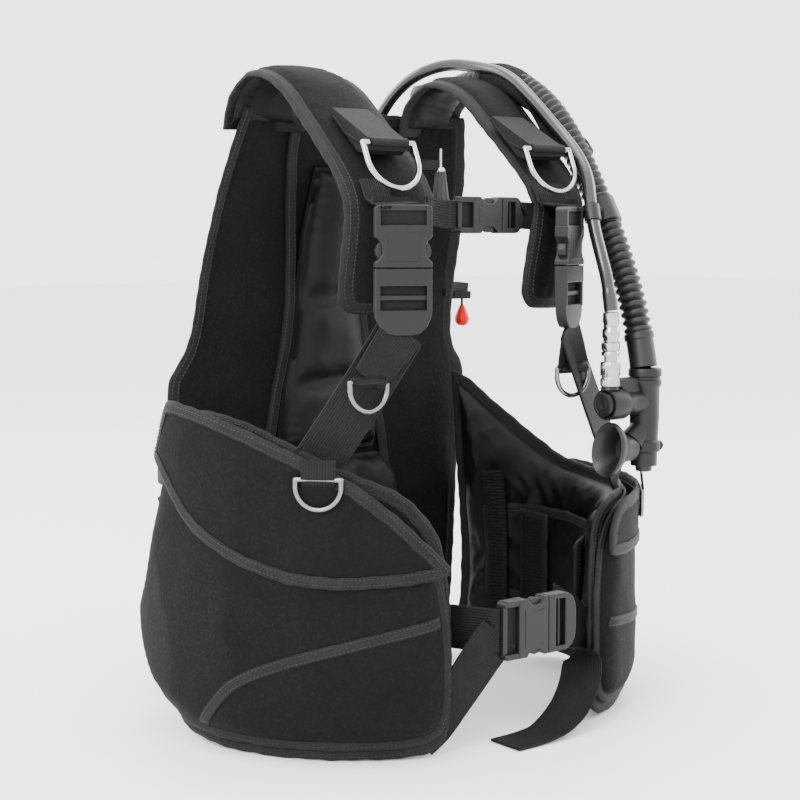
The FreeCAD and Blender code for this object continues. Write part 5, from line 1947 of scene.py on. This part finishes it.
RIGHT_LOBE = Lobe(
    side=-1, name="right",
    rim_low=((15.0, 0.050), (15.4, 0.024), (18.5, 0.006), (25.0, 0.002), (60.0, 0.001), (76.0, 0.003),
             (86.0, 0.010), (92.0, 0.020), (104.0, 0.030), (120.0, 0.036), (124.6, 0.050)),
    rim_high=((15.0, 0.100), (15.6, 0.150), (17.4, 0.188), (20.4, 0.210), (28.3, 0.238), (39.0, 0.251),
              (52.6, 0.276), (67.5, 0.298), (80.0, 0.303), (88.0, 0.297), (100.0, 0.290),
              (122.0, 0.286), (124.6, 0.276)),
    pocket_low=POCKET_LOW,
    pocket_high=((15.6, 0.085), (16.0, 0.120), (18.0, 0.164), (24.0, 0.190), (39.0, 0.243), (52.6, 0.268),
                 (67.5, 0.291), (80.0, 0.302), (87.0, 0.300), (91.5, 0.273), (94.0, 0.256), (96.6, 0.216),
                 (104.0, 0.155), (111.5, 0.116)),
    flap_low=((17.4, 0.166), (19.0, 0.163), (32.8, 0.157), (50.6, 0.156), (67.7, 0.176), (80.0, 0.202),
              (86.0, 0.229), (90.0, 0.247), (94.6, 0.259)),
    flap_high=((17.4, 0.172), (22.0, 0.191), (30.0, 0.221), (39.4, 0.2495), (52.6, 0.274), (67.5, 0.297),
               (80.0, 0.3085), (86.0, 0.3110), (89.0, 0.306), (92.0, 0.286), (94.6, 0.262)),
    seams=(((77.0, 0.022), (72.0, 0.046), (66.0, 0.070), (50.6, 0.094), (35.0, 0.110), (19.0, 0.124)),),
)

LEFT_LOBE = Lobe(
    side=1, name="left", seed=8, ring_at=(46.0, 0.203),
    rim_low=((15.0, 0.050), (15.4, 0.024), (18.5, 0.006), (25.0, 0.002), (60.0, 0.001), (86.0, 0.003),
             (96.0, 0.010), (104.0, 0.016), (120.0, 0.020), (124.6, 0.034)),
    rim_high=((15.0, 0.100), (15.6, 0.170), (18.0, 0.196), (24.0, 0.209), (40.0, 0.212), (80.0, 0.213),
              (92.0, 0.220), (98.0, 0.236), (106.0, 0.264), (114.0, 0.290), (119.0, 0.304), (124.6, 0.311)),
    pocket_low=POCKET_LOW,
    pocket_high=((15.6, 0.120), (17.0, 0.170), (24.0, 0.199), (40.0, 0.205), (80.0, 0.206), (92.0, 0.213),
                 (95.0, 0.214), (100.0, 0.180), (105.0, 0.150), (111.5, 0.116)),
    flap_low=((17.4, 0.162), (20.0, 0.158), (50.0, 0.157), (80.0, 0.158), (90.0, 0.164), (96.0, 0.172),
              (101.0, 0.184)),
    flap_high=((17.4, 0.182), (20.0, 0.203), (26.0, 0.2105), (40.0, 0.2125), (80.0, 0.2130), (90.0, 0.215),
               (96.0, 0.212), (101.0, 0.192)),
    seams=(((19.0, 0.095), (50.0, 0.085), (80.0, 0.062), (98.0, 0.028)),),
)

SHOULDERS = (
    Shoulder(side=-1, name="right", inner=0.060, outer=0.150, buckle_x=0.120, ring_x=0.108, tail_x=0.150,
             foot=at(-0.192, -0.131, 0.243), seed=21),
    Shoulder(side=1, name="left", inner=0.060, outer=0.133, buckle_x=0.076, ring_x=0.080, tail_x=0.090,
             foot=at(0.180, -0.1438, 0.221), seed=31),
)

BUCKLES = tuple(
    SideRelease(name=f"{strap.name}_shoulder", mouth=at(strap.side * strap.buckle_x, -0.180, 0.430),
                across=(math.cos(BUCKLE_TURN), strap.side * math.sin(BUCKLE_TURN), 0), up=(0, 0, 1),
                wide=0.050, thick=0.013, socket=0.054, plug=0.058, socket_body="vest",
                plug_body=f"{strap.name}_shoulder_release") for strap in SHOULDERS
) + (
    SideRelease(name="waist", mouth=at(0.007, -0.224, 0.110), across=(0, 0, 1), up=(-1, 0, 0), wide=0.053,
                thick=0.014, socket=0.052, plug=0.035, socket_body="vest", plug_body="waist_release"),
    SideRelease(name="sternum", mouth=at(0.014, -0.151, 0.476), across=(0, 0, 1), up=(-1, 0, 0),
                wide=0.033, thick=0.012, socket=0.051, plug=0.027, socket_body="sternum_release",
                plug_body="vest"),
)


def main() -> None:
    """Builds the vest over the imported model."""
    logging.basicConfig(level=logging.INFO, format="%(name)s: %(message)s")
    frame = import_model()
    Studio().build()
    Inflator().build()
    Hoses().build()
    RIGHT_LOBE.build()
    LEFT_LOBE.build()
    Back().build()
    for strap in SHOULDERS:
        strap.build()
    for buckle in BUCKLES:
        buckle.build()
    Pulls().build()
    Waist().build()
    Hardware().build(frame["nodes"])


if __name__ == "__main__":
    main()
